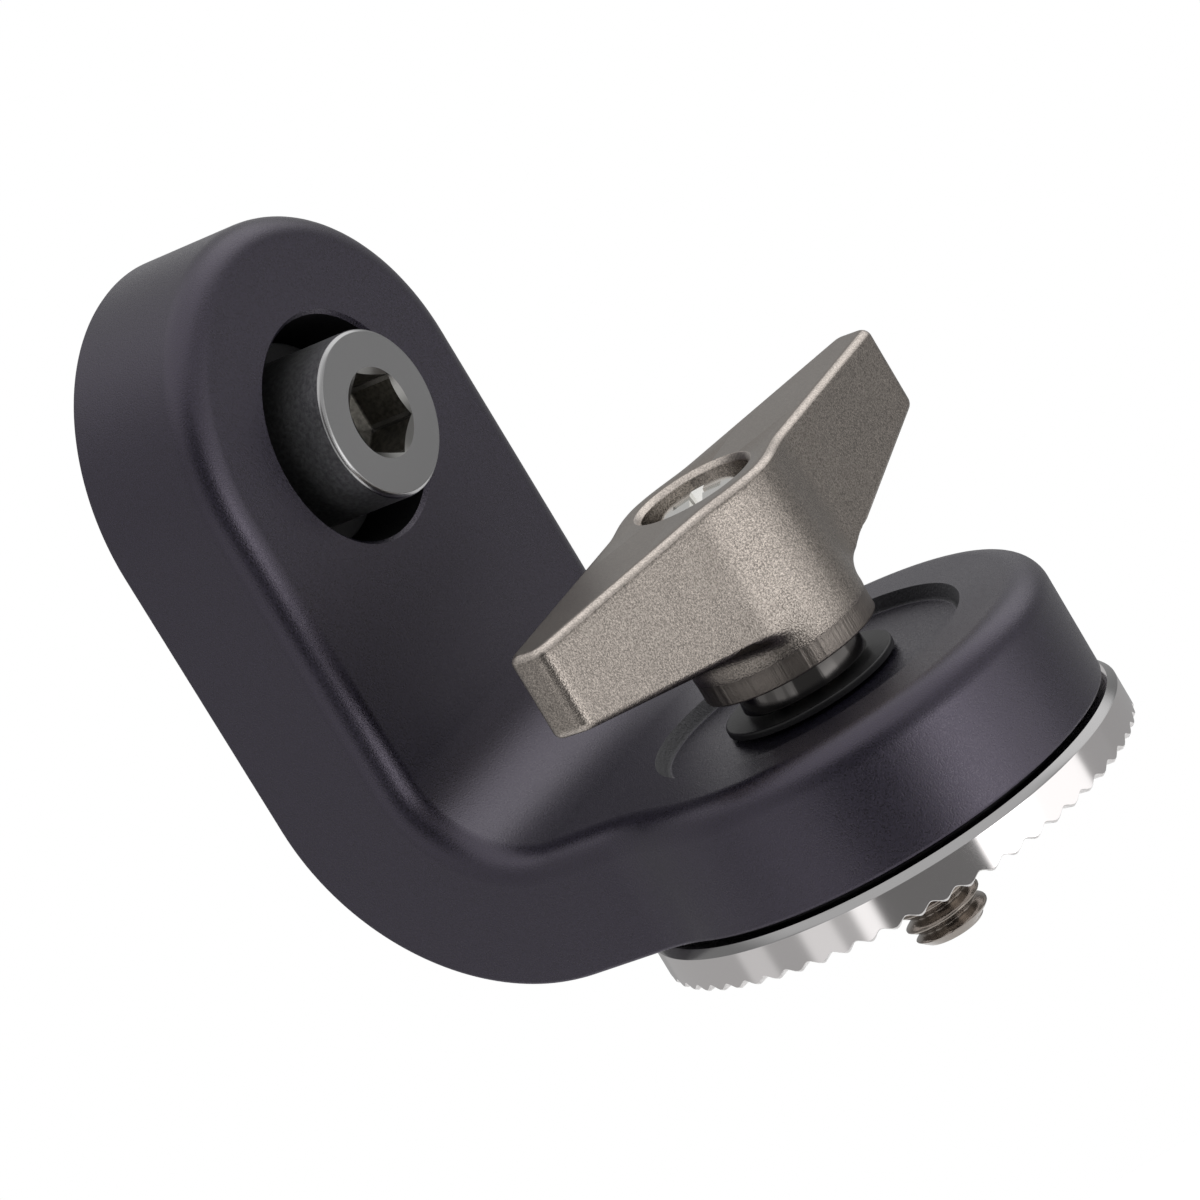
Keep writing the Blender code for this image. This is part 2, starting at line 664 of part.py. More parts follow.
def lever_loop(height, inset=0.0):
    """Return one level of the lever as a closed outline about its axis."""
    boss = lever_boss_radius(height) - inset
    reach = lever_reach(height) - inset
    if reach > boss + 0.2:
        corner = min(LEVER_CORNER_ROUND, (reach - boss) * 0.5)
        inner = boss * np.sin(np.linspace(0.0, math.pi / 2.0, 9))[:-1]
        outer = np.linspace(boss, reach - corner, 5)
        along = np.concatenate([inner, outer])
        wide = lever_half_width(along, height, inset)
        turn = np.linspace(0.0, math.pi / 2.0, 4)[1:]
        edge = wide[-1]
        along = np.concatenate([along, reach - corner + corner * np.sin(turn)])
        wide = np.concatenate([wide, edge - min(corner, edge * 0.7) * (1.0 - np.cos(turn))])
    else:
        inner = np.linspace(0.0, math.pi / 2.0, 16)
        along = boss * np.sin(inner)
        wide = boss * np.cos(inner)
        wide[-1] = wide[-2] * 0.4
        along[-1] = math.sqrt(boss * boss - wide[-1] * wide[-1])
    quarter = np.stack([along, wide], axis=1)
    pieces = [quarter, (quarter * [1, -1])[::-1], (quarter * [-1, -1])[1:], (quarter * [-1, 1])[::-1][:-1]]
    outline = np.concatenate(pieces)
    t = math.radians(LEVER_ANGLE)
    x = outline[:, 0] * math.cos(t) + outline[:, 1] * math.sin(t)
    y = outline[:, 0] * math.sin(t) - outline[:, 1] * math.cos(t)
    return np.stack([x, y, np.full(len(outline), height)], axis=1)


def make_lever():
    """Make the cast T-lever with its stepped bore and inner serrations."""
    root_z, tip_z = lever_underside()[1::2]
    loops = [lever_loop(LEVER_BOTTOM, 0.5), lever_loop(LEVER_BOTTOM + 0.5), lever_loop(root_z)]
    for share in (0.06, 0.25, 0.5, 0.75, 1.0):
        loops.append(lever_loop(root_z + (tip_z - root_z) * share))
    for share in (0.5, 1.0):
        loops.append(lever_loop(tip_z + LEVER_LOW_ROUND * share))
    loops.append(lever_loop(LEVER_TOP - LEVER_EDGE_ROUND))
    for step in range(1, 4):
        t = math.pi / 2.0 * step / 3.0
        inset = LEVER_EDGE_ROUND * (1.0 - math.cos(t))
        loops.append(lever_loop(LEVER_TOP - LEVER_EDGE_ROUND * (1.0 - math.sin(t)), inset))
    lever = grid_body("t_handle", loops, ((0.36, 0.33, 0.3), 0.9, 0.45))
    steps = SPLINE_TEETH * 4
    t = np.arange(steps) * 2.0 * math.pi / steps + math.radians(LEVER_ANGLE)
    flat = np.ones(steps)
    grown = spline_radius(SLIDE_FIT, t - math.radians(LEVER_ANGLE))
    clear = SPLINE_DIAMETER / 2.0 + SLIDE_FIT + 0.15
    bore = LEVER_BORE_DIAMETER / 2.0
    teeth_low = COLLAR_TOP + SPLINE_RELIEF - FIT
    shank = LEVER_SCREW_DIAMETER / 2.0 + FIT
    profile = [
        (clear * flat, LEVER_BOTTOM - 1.0),
        (clear * flat, teeth_low),
        (grown, teeth_low),
        (grown, WEB_BOTTOM),
        (shank * flat, WEB_BOTTOM),
        (shank * flat, WEB_TOP),
        (bore * flat, WEB_TOP),
        (bore * flat, LEVER_TOP - 0.4),
        ((bore + 0.4) * flat, LEVER_TOP),
        ((bore + 0.4) * flat, LEVER_TOP + 1.0),
    ]
    cutter = grid_body("cut_lever_bore", [
        np.stack([r * np.cos(t), r * np.sin(t), z * flat], axis=1) for r, z in profile
    ])
    return cut(lever, [cutter])


def make_lever_screw():
    """Make the cross-recess screw that holds the lever on its insert."""
    head = LEVER_SCREW_HEAD / 2.0
    shank = LEVER_SCREW_DIAMETER / 2.0
    end = INSERT_TOP - LEVER_SCREW_GRIP
    profile = [
        (shank - 0.4, end),
        (shank, end + 0.4),
        (shank, SCREW_HEAD_BOTTOM),
        (head, SCREW_HEAD_BOTTOM),
        (head, SCREW_HEAD_BOTTOM + 1.1),
        (head - 0.35, SCREW_HEAD_TOP - 0.6),
        (head - 1.2, SCREW_HEAD_TOP - 0.12),
        (0.8, SCREW_HEAD_TOP),
    ]
    screw = lathe("handle_screw", profile, 28, ((0.7, 0.69, 0.66), 1.0, 0.2))
    cutters = []
    for i in range(2):
        wide, thin = (2.2, 0.5) if i == 0 else (0.5, 2.2)
        loops = []
        for z, share in ((SCREW_HEAD_TOP - 1.5, 0.55), (SCREW_HEAD_TOP + 0.5, 1.1)):
            w = wide * share if wide > thin else wide
            h = thin * share if thin > wide else thin
            loops.append([(-w, -h, z), (w, -h, z), (w, h, z), (-w, h, z)])
        cutters.append(grid_body(f"cut_handle_screw_{i + 1}", loops))
    return cut(screw, cutters)


def make_spring():
    """Make the coil spring as one unbroken tube and print its least gap between curls."""
    radius = SPRING_DIAMETER / 2.0
    wire = SPRING_WIRE / 2.0
    rise = SPRING_TOP - SPRING_BOTTOM - SPRING_WIRE
    count = int(SPRING_TURNS * 10)
    turns = np.linspace(0.0, SPRING_TURNS, count + 1)
    around = np.arange(6) * math.pi / 3.0
    loops = []
    for turn in turns:
        t = turn * 2.0 * math.pi
        z = SPRING_BOTTOM + wire + rise * turn / SPRING_TURNS
        out = radius + wire * np.cos(around)
        loops.append(np.stack([out * math.cos(t), out * math.sin(t), z + wire * np.sin(around)], axis=1))
    gap = rise / SPRING_TURNS - SPRING_WIRE
    print(f"handle_spring least gap between curls {gap:.2f} mm")
    return grid_body("handle_spring", loops, ((0.55, 0.55, 0.56), 1.0, 0.25))


def make_cap_screw():
    """Make the socket-head cap screw along Z, then turn it into the upper arm."""
    steps = 24
    head = CAP_HEAD_DIAMETER / 2.0
    tip = -CAP_SEAT - CAP_LENGTH
    loops = [
        circle(head - 0.9, CAP_PROUD, steps),
        circle(head, CAP_PROUD - 0.5, steps),
        circle(head, -CAP_SEAT + 0.2, steps),
        circle(head - 0.2, -CAP_SEAT, steps),
        circle(CAP_RADIUS, -CAP_SEAT, steps),
        circle(CAP_RADIUS, -SLEEVE_END, steps),
    ]
    start = -SLEEVE_END - 0.2
    loops += threaded_loops(CAP_RADIUS, CAP_THREAD_DEPTH, CAP_PITCH, start, tip, steps, 5, 0.9)
    screw = grid_body("cap_screw", loops, ((0.5, 0.49, 0.48), 1.0, 0.3))
    socket = CAP_HEX / math.sqrt(3.0)
    floor = CAP_PROUD - 4.0
    profile = [(0.4, floor - 1.0), (socket, floor), (socket, CAP_PROUD + 1.0)]
    hexagon = lathe("cut_cap_screw", profile, 6)
    rim = [(socket - 1.2, CAP_PROUD - 0.9), (socket + 0.15, CAP_PROUD), (socket + 0.15, CAP_PROUD + 1.0)]
    sink = lathe("cut_cap_screw_rim", rim, 24)
    return turn_to_cap(cut(screw, [turn_to_cap(hexagon), turn_to_cap(sink)]))


def make_cap_stack():
    """Make the washer, disc spring, sleeve and retainer around the cap screw."""
    bore = CAP_RADIUS + FIT
    wide = WASHER_DIAMETER / 2.0
    flat = [(bore, -WASHER_END), (wide, -WASHER_END), (wide, -WASHER_START), (bore, -WASHER_START)]
    turn_to_cap(lathe("cap_washer", flat, 40, ((0.5, 0.5, 0.5), 1.0, 0.3), closed=True))
    cone = [
        (bore, -DISC_START - DISC_SPRING_THICK),
        (wide, -DISC_END),
        (wide, -DISC_END + DISC_SPRING_THICK),
        (bore, -DISC_START),
    ]
    turn_to_cap(lathe("disc_spring", cone, 40, ((0.3, 0.3, 0.3), 1.0, 0.35), closed=True))
    tube = [
        (SLEEVE_BORE, -SLEEVE_END),
        (SLEEVE_RADIUS, -SLEEVE_END),
        (SLEEVE_RADIUS, -SLEEVE_START),
        (SLEEVE_BORE, -SLEEVE_START),
    ]
    turn_to_cap(lathe("swivel_sleeve", tube, 32, ((0.45, 0.33, 0.15), 1.0, 0.4), closed=True))
    outer = RETAINER_DIAMETER / 2.0
    low = -RETAINER_START - RETAINER_THICK
    keep = [(bore, low), (outer, low), (outer, -RETAINER_START - FIT), (bore, -RETAINER_START - FIT)]
    turn_to_cap(lathe("screw_retainer", keep, 40, ((0.015, 0.015, 0.015), 0.0, 0.6), closed=True))


def main():
    """Build every piece of the bracket."""
    clear_scene()
    cut_arm(make_arm())
    make_ring()
    make_spacer()
    make_ring_fixings()
    make_bush()
    make_insert()
    make_stud()
    make_clip()
    make_lever()
    make_lever_screw()
    make_spring()
    make_cap_screw()
    make_cap_stack()


main()
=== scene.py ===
"""Looks of the swivel bracket: smooth surfaces, finishes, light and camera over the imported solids."""

import logging
import math
from dataclasses import dataclass, field
from enum import Enum

import bmesh
import bpy
import numpy as np
from mathutils import Matrix, Vector

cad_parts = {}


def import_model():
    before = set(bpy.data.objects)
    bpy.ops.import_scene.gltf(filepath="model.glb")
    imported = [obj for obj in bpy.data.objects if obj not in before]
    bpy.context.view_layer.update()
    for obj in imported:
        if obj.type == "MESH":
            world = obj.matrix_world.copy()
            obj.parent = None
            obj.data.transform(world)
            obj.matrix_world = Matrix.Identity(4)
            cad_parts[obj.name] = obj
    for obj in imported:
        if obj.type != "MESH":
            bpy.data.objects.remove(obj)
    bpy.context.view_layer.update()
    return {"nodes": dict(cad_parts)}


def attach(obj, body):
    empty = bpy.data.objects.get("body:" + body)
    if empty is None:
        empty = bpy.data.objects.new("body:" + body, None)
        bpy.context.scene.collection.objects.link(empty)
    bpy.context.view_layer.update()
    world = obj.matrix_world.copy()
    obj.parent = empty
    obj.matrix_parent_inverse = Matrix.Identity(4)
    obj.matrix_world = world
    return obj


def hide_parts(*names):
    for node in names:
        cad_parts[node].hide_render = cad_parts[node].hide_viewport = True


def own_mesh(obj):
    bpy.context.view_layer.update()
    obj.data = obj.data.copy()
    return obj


LOG = logging.getLogger("swivel_bracket")
MM = 0.001
NUMBER = "NodeSocketFloat"
VECTOR = "NodeSocketVector"
QUARTER = math.pi / 2.0
FULL = 2.0 * math.pi
HEXAGON = 6
Triple = tuple[float, float, float]
Profile = list[tuple[float, float]]
Table = tuple[tuple[float, ...], ...]
Row = tuple[float | np.ndarray, float | np.ndarray]
Tree = bpy.types.NodeTree
Socket = bpy.types.NodeSocket
Value = Socket | float | tuple[float, ...]


class Body(Enum):
    """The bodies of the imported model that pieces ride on."""

    BRACKET = "bracket"
    STUD = "stud"
    LEVER = "lever"
    CAP = "cap"


class Axis(Enum):
    """The line that a turned piece is made about."""

    STUD = "Z"
    CAP = "X"


class Marks(Enum):
    """What a tool left on a surface."""

    NONE = "none"
    TURNED = "turned"
    STREAKED = "streaked"


@dataclass(frozen=True)
class Sizes:
    """Sizes in millimetres and degrees that the pieces share with the solids they stand for."""

    arm_width: float = 33.7
    upper_thick: float = 11.7
    reach: float = 24.4
    bend_outer: float = 18.4
    bend_inner: float = 8.2
    cap_rise: float = 30.5
    disc_radius: float = 18.85
    neck_blend: float = 12.4
    edge_round: float = 2.4
    edge_chamfer: float = 0.35
    arm_bottom: float = 3.8
    arm_top: float = 14.0
    recess_radius: float = 12.65
    recess_slope: float = 0.6
    recess_floor: float = 13.0
    arm_bore: float = 4.975
    clip_pocket: float = 5.15
    clip_ceiling: float = 5.7
    cbore_radius: float = 8.75
    cbore_depth: float = 7.7
    cap_hole: float = 5.4
    retainer_start: float = 10.4
    retainer_radius: float = 7.0
    fit: float = 0.3
    land: float = 0.75
    pocket_floor: float = 2.7
    screw_circle: float = 10.5
    collar_bottom: float = 14.2
    collar_top: float = 16.0
    lever_bottom: float = 16.3
    lever_top: float = 30.6
    lever_angle: float = 84.5
    spline_radius: float = 4.15
    spline_depth: float = 0.6
    spline_teeth: int = 12

    @property
    def half_width(self) -> float:
        """Return half of the arm's width."""
        return self.arm_width / 2.0

    @property
    def cap_point(self) -> Vector:
        """Return the place on the upper arm's inner face where the cap screw's axis leaves it, in metres."""
        return Vector((-self.reach, 0.0, self.arm_top + self.cap_rise)) * MM


SIZES = Sizes()


def node_group(name: str, inputs: dict[str, str], outputs: dict[str, str]) -> Tree:
    """Make an empty shader node group with named sockets.

    Args:
        name: The group's name.
        inputs: Socket types by input name.
        outputs: Socket types by output name.

    Returns:
        The group, with its input and output nodes in place.
    """
    group = bpy.data.node_groups.new(name, "ShaderNodeTree")
    for way, sockets in (("INPUT", inputs), ("OUTPUT", outputs)):
        for label, kind in sockets.items():
            group.interface.new_socket(label, in_out=way, socket_type=kind)
    group.nodes.new("NodeGroupInput").name = "in"
    group.nodes.new("NodeGroupOutput").name = "out"
    return group


def add_node(
    tree: Tree, kind: str, inputs: dict[str | int, Value] | None = None, **options: str | Tree
) -> bpy.types.Node:
    """Add one node, set its options and feed its inputs.

    Args:
        tree: The tree to add to.
        kind: The node's type, without the prefix that all shader nodes have.
        inputs: Sockets to link or constants to set, by the input's name or number.
        options: The node's own choices, such as its operation.

    Returns:
        The node.
    """
    node = tree.nodes.new(f"ShaderNode{kind}")
    for label, choice in options.items():
        setattr(node, label, choice)
    for label, value in (inputs or {}).items():
        if isinstance(value, Socket):
            tree.links.new(value, node.inputs[label])
        else:
            node.inputs[label].default_value = value
    return node


def math_node(tree: Tree, kind: str, *values: Value) -> Socket:
    """Add one math node, feed it in order, and return its output."""
    return add_node(tree, "Math", dict(enumerate(values)), operation=kind).outputs[0]


def new_material(name: str) -> bpy.types.Material:
    """Make a material that starts with a Principled BSDF.

    Args:
        name: The material's name.

    Returns:
        The material.
    """
    mat = bpy.data.materials.new(name)
    mat.use_nodes = True
    return mat


@dataclass
class Effects:
    """Shader node groups that several finishes share."""

    fine_detail: float = 2.0
    fine_roughness: float = 0.6
    slow_scale: float = 160.0
    slow_detail: float = 3.0
    turned_scale: float = 9000.0
    turned_detail: float = 3.0
    streak_scale: float = 2600.0
    streak_detail: float = 2.0
    streak_stretch: float = 0.015

    def __post_init__(self) -> None:
        """Make the groups."""
        self.grain = self.make_grain()
        self.turned = self.make_turned()
        self.streaked = self.make_streaked()

    def make_grain(self) -> Tree:
        """Make a blasted or cast grain: a height and a slow mottle from noise at two scales.

        Returns:
            The node group.
        """
        group = node_group("grain", {"Scale": NUMBER}, {"Height": NUMBER, "Mottle": NUMBER})
        place = add_node(group, "TexCoord").outputs["Object"]
        scale = group.nodes["in"].outputs["Scale"]
        fine = {"Vector": place, "Scale": scale, "Detail": self.fine_detail, "Roughness": self.fine_roughness}
        slow = {"Vector": place, "Scale": self.slow_scale, "Detail": self.slow_detail}
        for label, noise in (("Height", fine), ("Mottle", slow)):
            group.links.new(add_node(group, "TexNoise", noise).outputs["Fac"], group.nodes["out"].inputs[label])
        return group

    def make_turned(self) -> Tree:
        """Make the fine rings that a lathe leaves: noise over the distance from an axis and the place along it.

        Returns:
            The node group.
        """
        group = node_group("turned", {"Axis": VECTOR, "Point": VECTOR, "Scale": NUMBER}, {"Height": NUMBER})
        given = group.nodes["in"].outputs
        place = add_node(group, "TexCoord").outputs["Object"]
        away = add_node(group, "VectorMath", {0: place, 1: given["Point"]}, operation="SUBTRACT").outputs["Vector"]
        pair = {0: away, 1: given["Axis"]}
        along = add_node(group, "VectorMath", pair, operation="DOT_PRODUCT").outputs["Value"]
        across = add_node(group, "VectorMath", pair, operation="CROSS_PRODUCT").outputs["Vector"]
        radius = add_node(group, "VectorMath", {0: across}, operation="LENGTH").outputs["Value"]
        spot = add_node(group, "CombineXYZ", {0: radius, 1: along}).outputs["Vector"]
        noise = {"Vector": spot, "Scale": given["Scale"], "Detail": self.turned_detail}
        group.links.new(add_node(group, "TexNoise", noise).outputs["Fac"], group.nodes["out"].inputs["Height"])
        return group

    def make_streaked(self) -> Tree:
        """Make upright tool streaks: noise that is fine round an upright axis and drawn out along it.

        Returns:
            The node group.
        """
        group = node_group("streaked", {"Scale": NUMBER}, {"Height": NUMBER})
        place = add_node(group, "TexCoord").outputs["Object"]
        drawn = add_node(group, "Mapping", {"Vector": place, "Scale": (1.0, 1.0, self.streak_stretch)})
        scale = group.nodes["in"].outputs["Scale"]
        noise = {"Vector": drawn.outputs["Vector"], "Scale": scale, "Detail": self.streak_detail}
        group.links.new(add_node(group, "TexNoise", noise).outputs["Fac"], group.nodes["out"].inputs["Height"])
        return group


@dataclass(frozen=True)
class Finish:
    """One surface finish."""

    name: str
    colour: Triple
    metallic: float
    roughness: float
    grain_scale: float = 5000.0
    grain_mm: float = 0.0
    mottle: float = 0.08
    speckle: float = 0.0
    marks: Marks = Marks.NONE
    marks_mm: float = 0.0
    axis: Axis = Axis.STUD
    specular: float = 0.5
    tint: Triple = (1.0, 1.0, 1.0)
    glints: float = 0.0
    grain_low: float = 0.35
    grain_high: float = 0.65

    def make(self, effects: Effects) -> bpy.types.Material:
        """Build the material.

        Args:
            effects: The shared node groups.

        Returns:
            The material.
        """
        mat = new_material(self.name)
        tree = mat.node_tree
        shader = tree.nodes["Principled BSDF"].inputs
        shader["Base Color"].default_value = (*self.colour, 1.0)
        shader["Metallic"].default_value = self.metallic
        shader["Specular IOR Level"].default_value = self.specular
        shader["Specular Tint"].default_value = (*self.tint, 1.0)
        grain = add_node(tree, "Group", {"Scale": self.grain_scale}, node_tree=effects.grain).outputs
        rough = self.swing(tree, grain["Mottle"], self.mottle, self.roughness)
        if self.glints:
            rough = self.swing(tree, grain["Height"], self.glints, rough)
        tree.links.new(rough, shader["Roughness"])
        if self.speckle:
            self.add_speckle(tree, grain["Height"])
        normal = None
        if self.grain_mm:
            normal = self.add_bump(tree, grain["Height"], self.grain_mm, normal)
        if self.marks is not Marks.NONE:
            normal = self.add_bump(tree, self.tool_marks(tree, effects), self.marks_mm, normal)
        if normal is not None:
            tree.links.new(normal, shader["Normal"])
        return mat

    @staticmethod
    def swing(tree: Tree, noise: Socket, depth: float, middle: Value) -> Socket:
        """Return a value that leaves its middle by depth times the noise's distance from a half."""
        away = math_node(tree, "SUBTRACT", noise, 0.5)
        return math_node(tree, "MULTIPLY_ADD", away, depth, middle)

    def tool_marks(self, tree: Tree, effects: Effects) -> Socket:
        """Add the marks that a tool left.

        Args:
            tree: The material's nodes.
            effects: The shared node groups.

        Returns:
            The height of the marks, from 0 to 1.
        """
        if self.marks is Marks.STREAKED:
            lines = add_node(tree, "Group", {"Scale": effects.streak_scale}, node_tree=effects.streaked)
            return lines.outputs["Height"]
        on_cap = self.axis is Axis.CAP
        given = {
            "Axis": (1.0, 0.0, 0.0) if on_cap else (0.0, 0.0, 1.0),
            "Point": tuple(SIZES.cap_point) if on_cap else (0.0, 0.0, 0.0),
            "Scale": effects.turned_scale,
        }
        return add_node(tree, "Group", given, node_tree=effects.turned).outputs["Height"]

    def add_speckle(self, tree: Tree, height: Socket) -> None:
        """Let the grain lighten and darken the colour.

        Args:
            tree: The material's nodes.
            height: The grain's height, from 0 to 1.
        """
        given = {"Value": height, "From Min": self.grain_low, "From Max": self.grain_high}
        share = add_node(tree, "MapRange", given).outputs["Result"]
        mix = add_node(tree, "Mix", {"Factor": share}, data_type="RGBA")
        for label, gain in (("A", 1.0 - self.speckle), ("B", 1.0 + self.speckle)):
            socket = next(i for i in mix.inputs if i.name == label and i.type == "RGBA")
            socket.default_value = (*(c * gain for c in self.colour), 1.0)
        result = next(o for o in mix.outputs if o.type == "RGBA")
        tree.links.new(result, tree.nodes["Principled BSDF"].inputs["Base Color"])

    @staticmethod
    def add_bump(tree: Tree, height: Socket, depth: float, before: Socket | None) -> Socket:
        """Add one bump layer.

        Args:
            tree: The material's nodes.
            height: The height, from 0 to 1.
            depth: How deep a height of 1 is, in millimetres.
            before: The normal of the layer below, if there is one.

        Returns:
            The layer's normal.
        """
        bump = add_node(tree, "Bump", {"Distance": depth * MM, "Height": height})
        if before is not None:
            tree.links.new(before, bump.inputs["Normal"])
        return bump.outputs["Normal"]


BLACK_ARM = Finish(
    "arm_anodised",
    (0.0056, 0.005, 0.0105),
    0.0,
    0.31,
    grain_scale=8500.0,
    grain_mm=0.024,
    speckle=0.9,
    specular=0.96,
    tint=(0.9, 0.81, 1.0),
    glints=0.45,
)
# Painted light: the recess's sloping rim is the arm's black made lighter and matte, for its lit wall.
ARM_RIM_PAINTED_LIGHT = Finish("arm_rim_painted_light", (0.045, 0.045, 0.052), 0.0, 0.55, 5200.0, 0.06, speckle=0.3)
# Painted shade: the counterbore's wall is the arm's black made darker and far less shiny, so it reads as shade.
ARM_BORE_PAINTED_SHADE = Finish("arm_bore_painted_shade", (0.004, 0.004, 0.005), 0.0, 0.6, 5200.0, 0.04, speckle=0.3, specular=0.25)
CAST_LEVER = Finish("lever_cast", (0.325, 0.29, 0.26), 1.0, 0.27, 7800.0, 0.038, speckle=0.45)
# Worn edge and painted highlight: the crown's rounded edge is lighter than the cast body, standing in for the light
# that catches it.
LEVER_WORN_EDGE_AND_HIGHLIGHT = Finish("lever_worn_edge_and_painted_highlight", (0.52, 0.468, 0.425), 1.0, 0.3, 7800.0, 0.02, speckle=0.3)
LEVER_TOP = Finish("lever_rubbed", (0.28, 0.252, 0.228), 1.0, 0.36, 7800.0, 0.012, speckle=0.14)
LEVER_FOOT = Finish(
    "lever_turned", (0.26, 0.231, 0.208), 1.0, 0.36, 7800.0, 0.02, marks=Marks.STREAKED, marks_mm=0.09
)
RING_METAL = Finish("ring_polished", (0.84, 0.81, 0.805), 1.0, 0.1, marks=Marks.TURNED, marks_mm=0.0004)
# Painted shade: the upper chamfer is the ring's polished metal made much darker, so it shows as a grey line.
RING_CHAMFER_SHADE = Finish("ring_chamfer_painted_shade", (0.36, 0.355, 0.355), 1.0, 0.16, marks=Marks.TURNED, marks_mm=0.0006)
# Milled teeth, rougher than the polished ring and also made darker: painted shade on the tooth faces.
RING_TEETH_MILLED_AND_SHADED = Finish("ring_milled_and_painted_shade", (0.56, 0.545, 0.54), 1.0, 0.24, 5200.0, 0.006, speckle=0.12)
CAP_METAL = Finish("cap_satin", (0.4, 0.398, 0.4), 1.0, 0.24, marks=Marks.TURNED, marks_mm=0.0016, axis=Axis.CAP)
CAP_WALL = Finish("cap_scuffed", (0.3, 0.3, 0.31), 1.0, 0.45, 3200.0, 0.02, 0.2, 0.2, axis=Axis.CAP)
CAP_SINK = Finish(
    "cap_countersunk", (0.16, 0.158, 0.152), 1.0, 0.3, marks=Marks.TURNED, marks_mm=0.001, axis=Axis.CAP
)
CAP_SOCKET = Finish("cap_socket", (0.2, 0.19, 0.17), 1.0, 0.42, 2600.0, 0.02, 0.2, 0.3)
BLACK_OXIDE = Finish("black_oxide", (0.01, 0.01, 0.011), 0.2, 0.5, 4000.0, 0.02, speckle=0.2)
STUD_METAL = Finish("stud_nickel", (0.25, 0.222, 0.198), 1.0, 0.2, marks=Marks.TURNED, marks_mm=0.0008)
COLLAR_METAL = Finish("collar_steel", (0.13, 0.123, 0.118), 1.0, 0.12, marks=Marks.STREAKED, marks_mm=0.01)
HEAD_METAL = Finish("screw_bright", (0.8, 0.79, 0.76), 1.0, 0.2, marks=Marks.TURNED, marks_mm=0.0006)
SMALL_METAL = Finish("small_steel", (0.45, 0.45, 0.44), 1.0, 0.28, marks=Marks.TURNED, marks_mm=0.0006)
BEARING_METAL = Finish(
    "sleeve_bronze", (0.5, 0.36, 0.17), 1.0, 0.35, marks=Marks.TURNED, marks_mm=0.001, axis=Axis.CAP
)
BLACK_PLASTIC = Finish("bush_black", (0.012, 0.012, 0.013), 0.0, 0.42, 4000.0, 0.02, speckle=0.2)


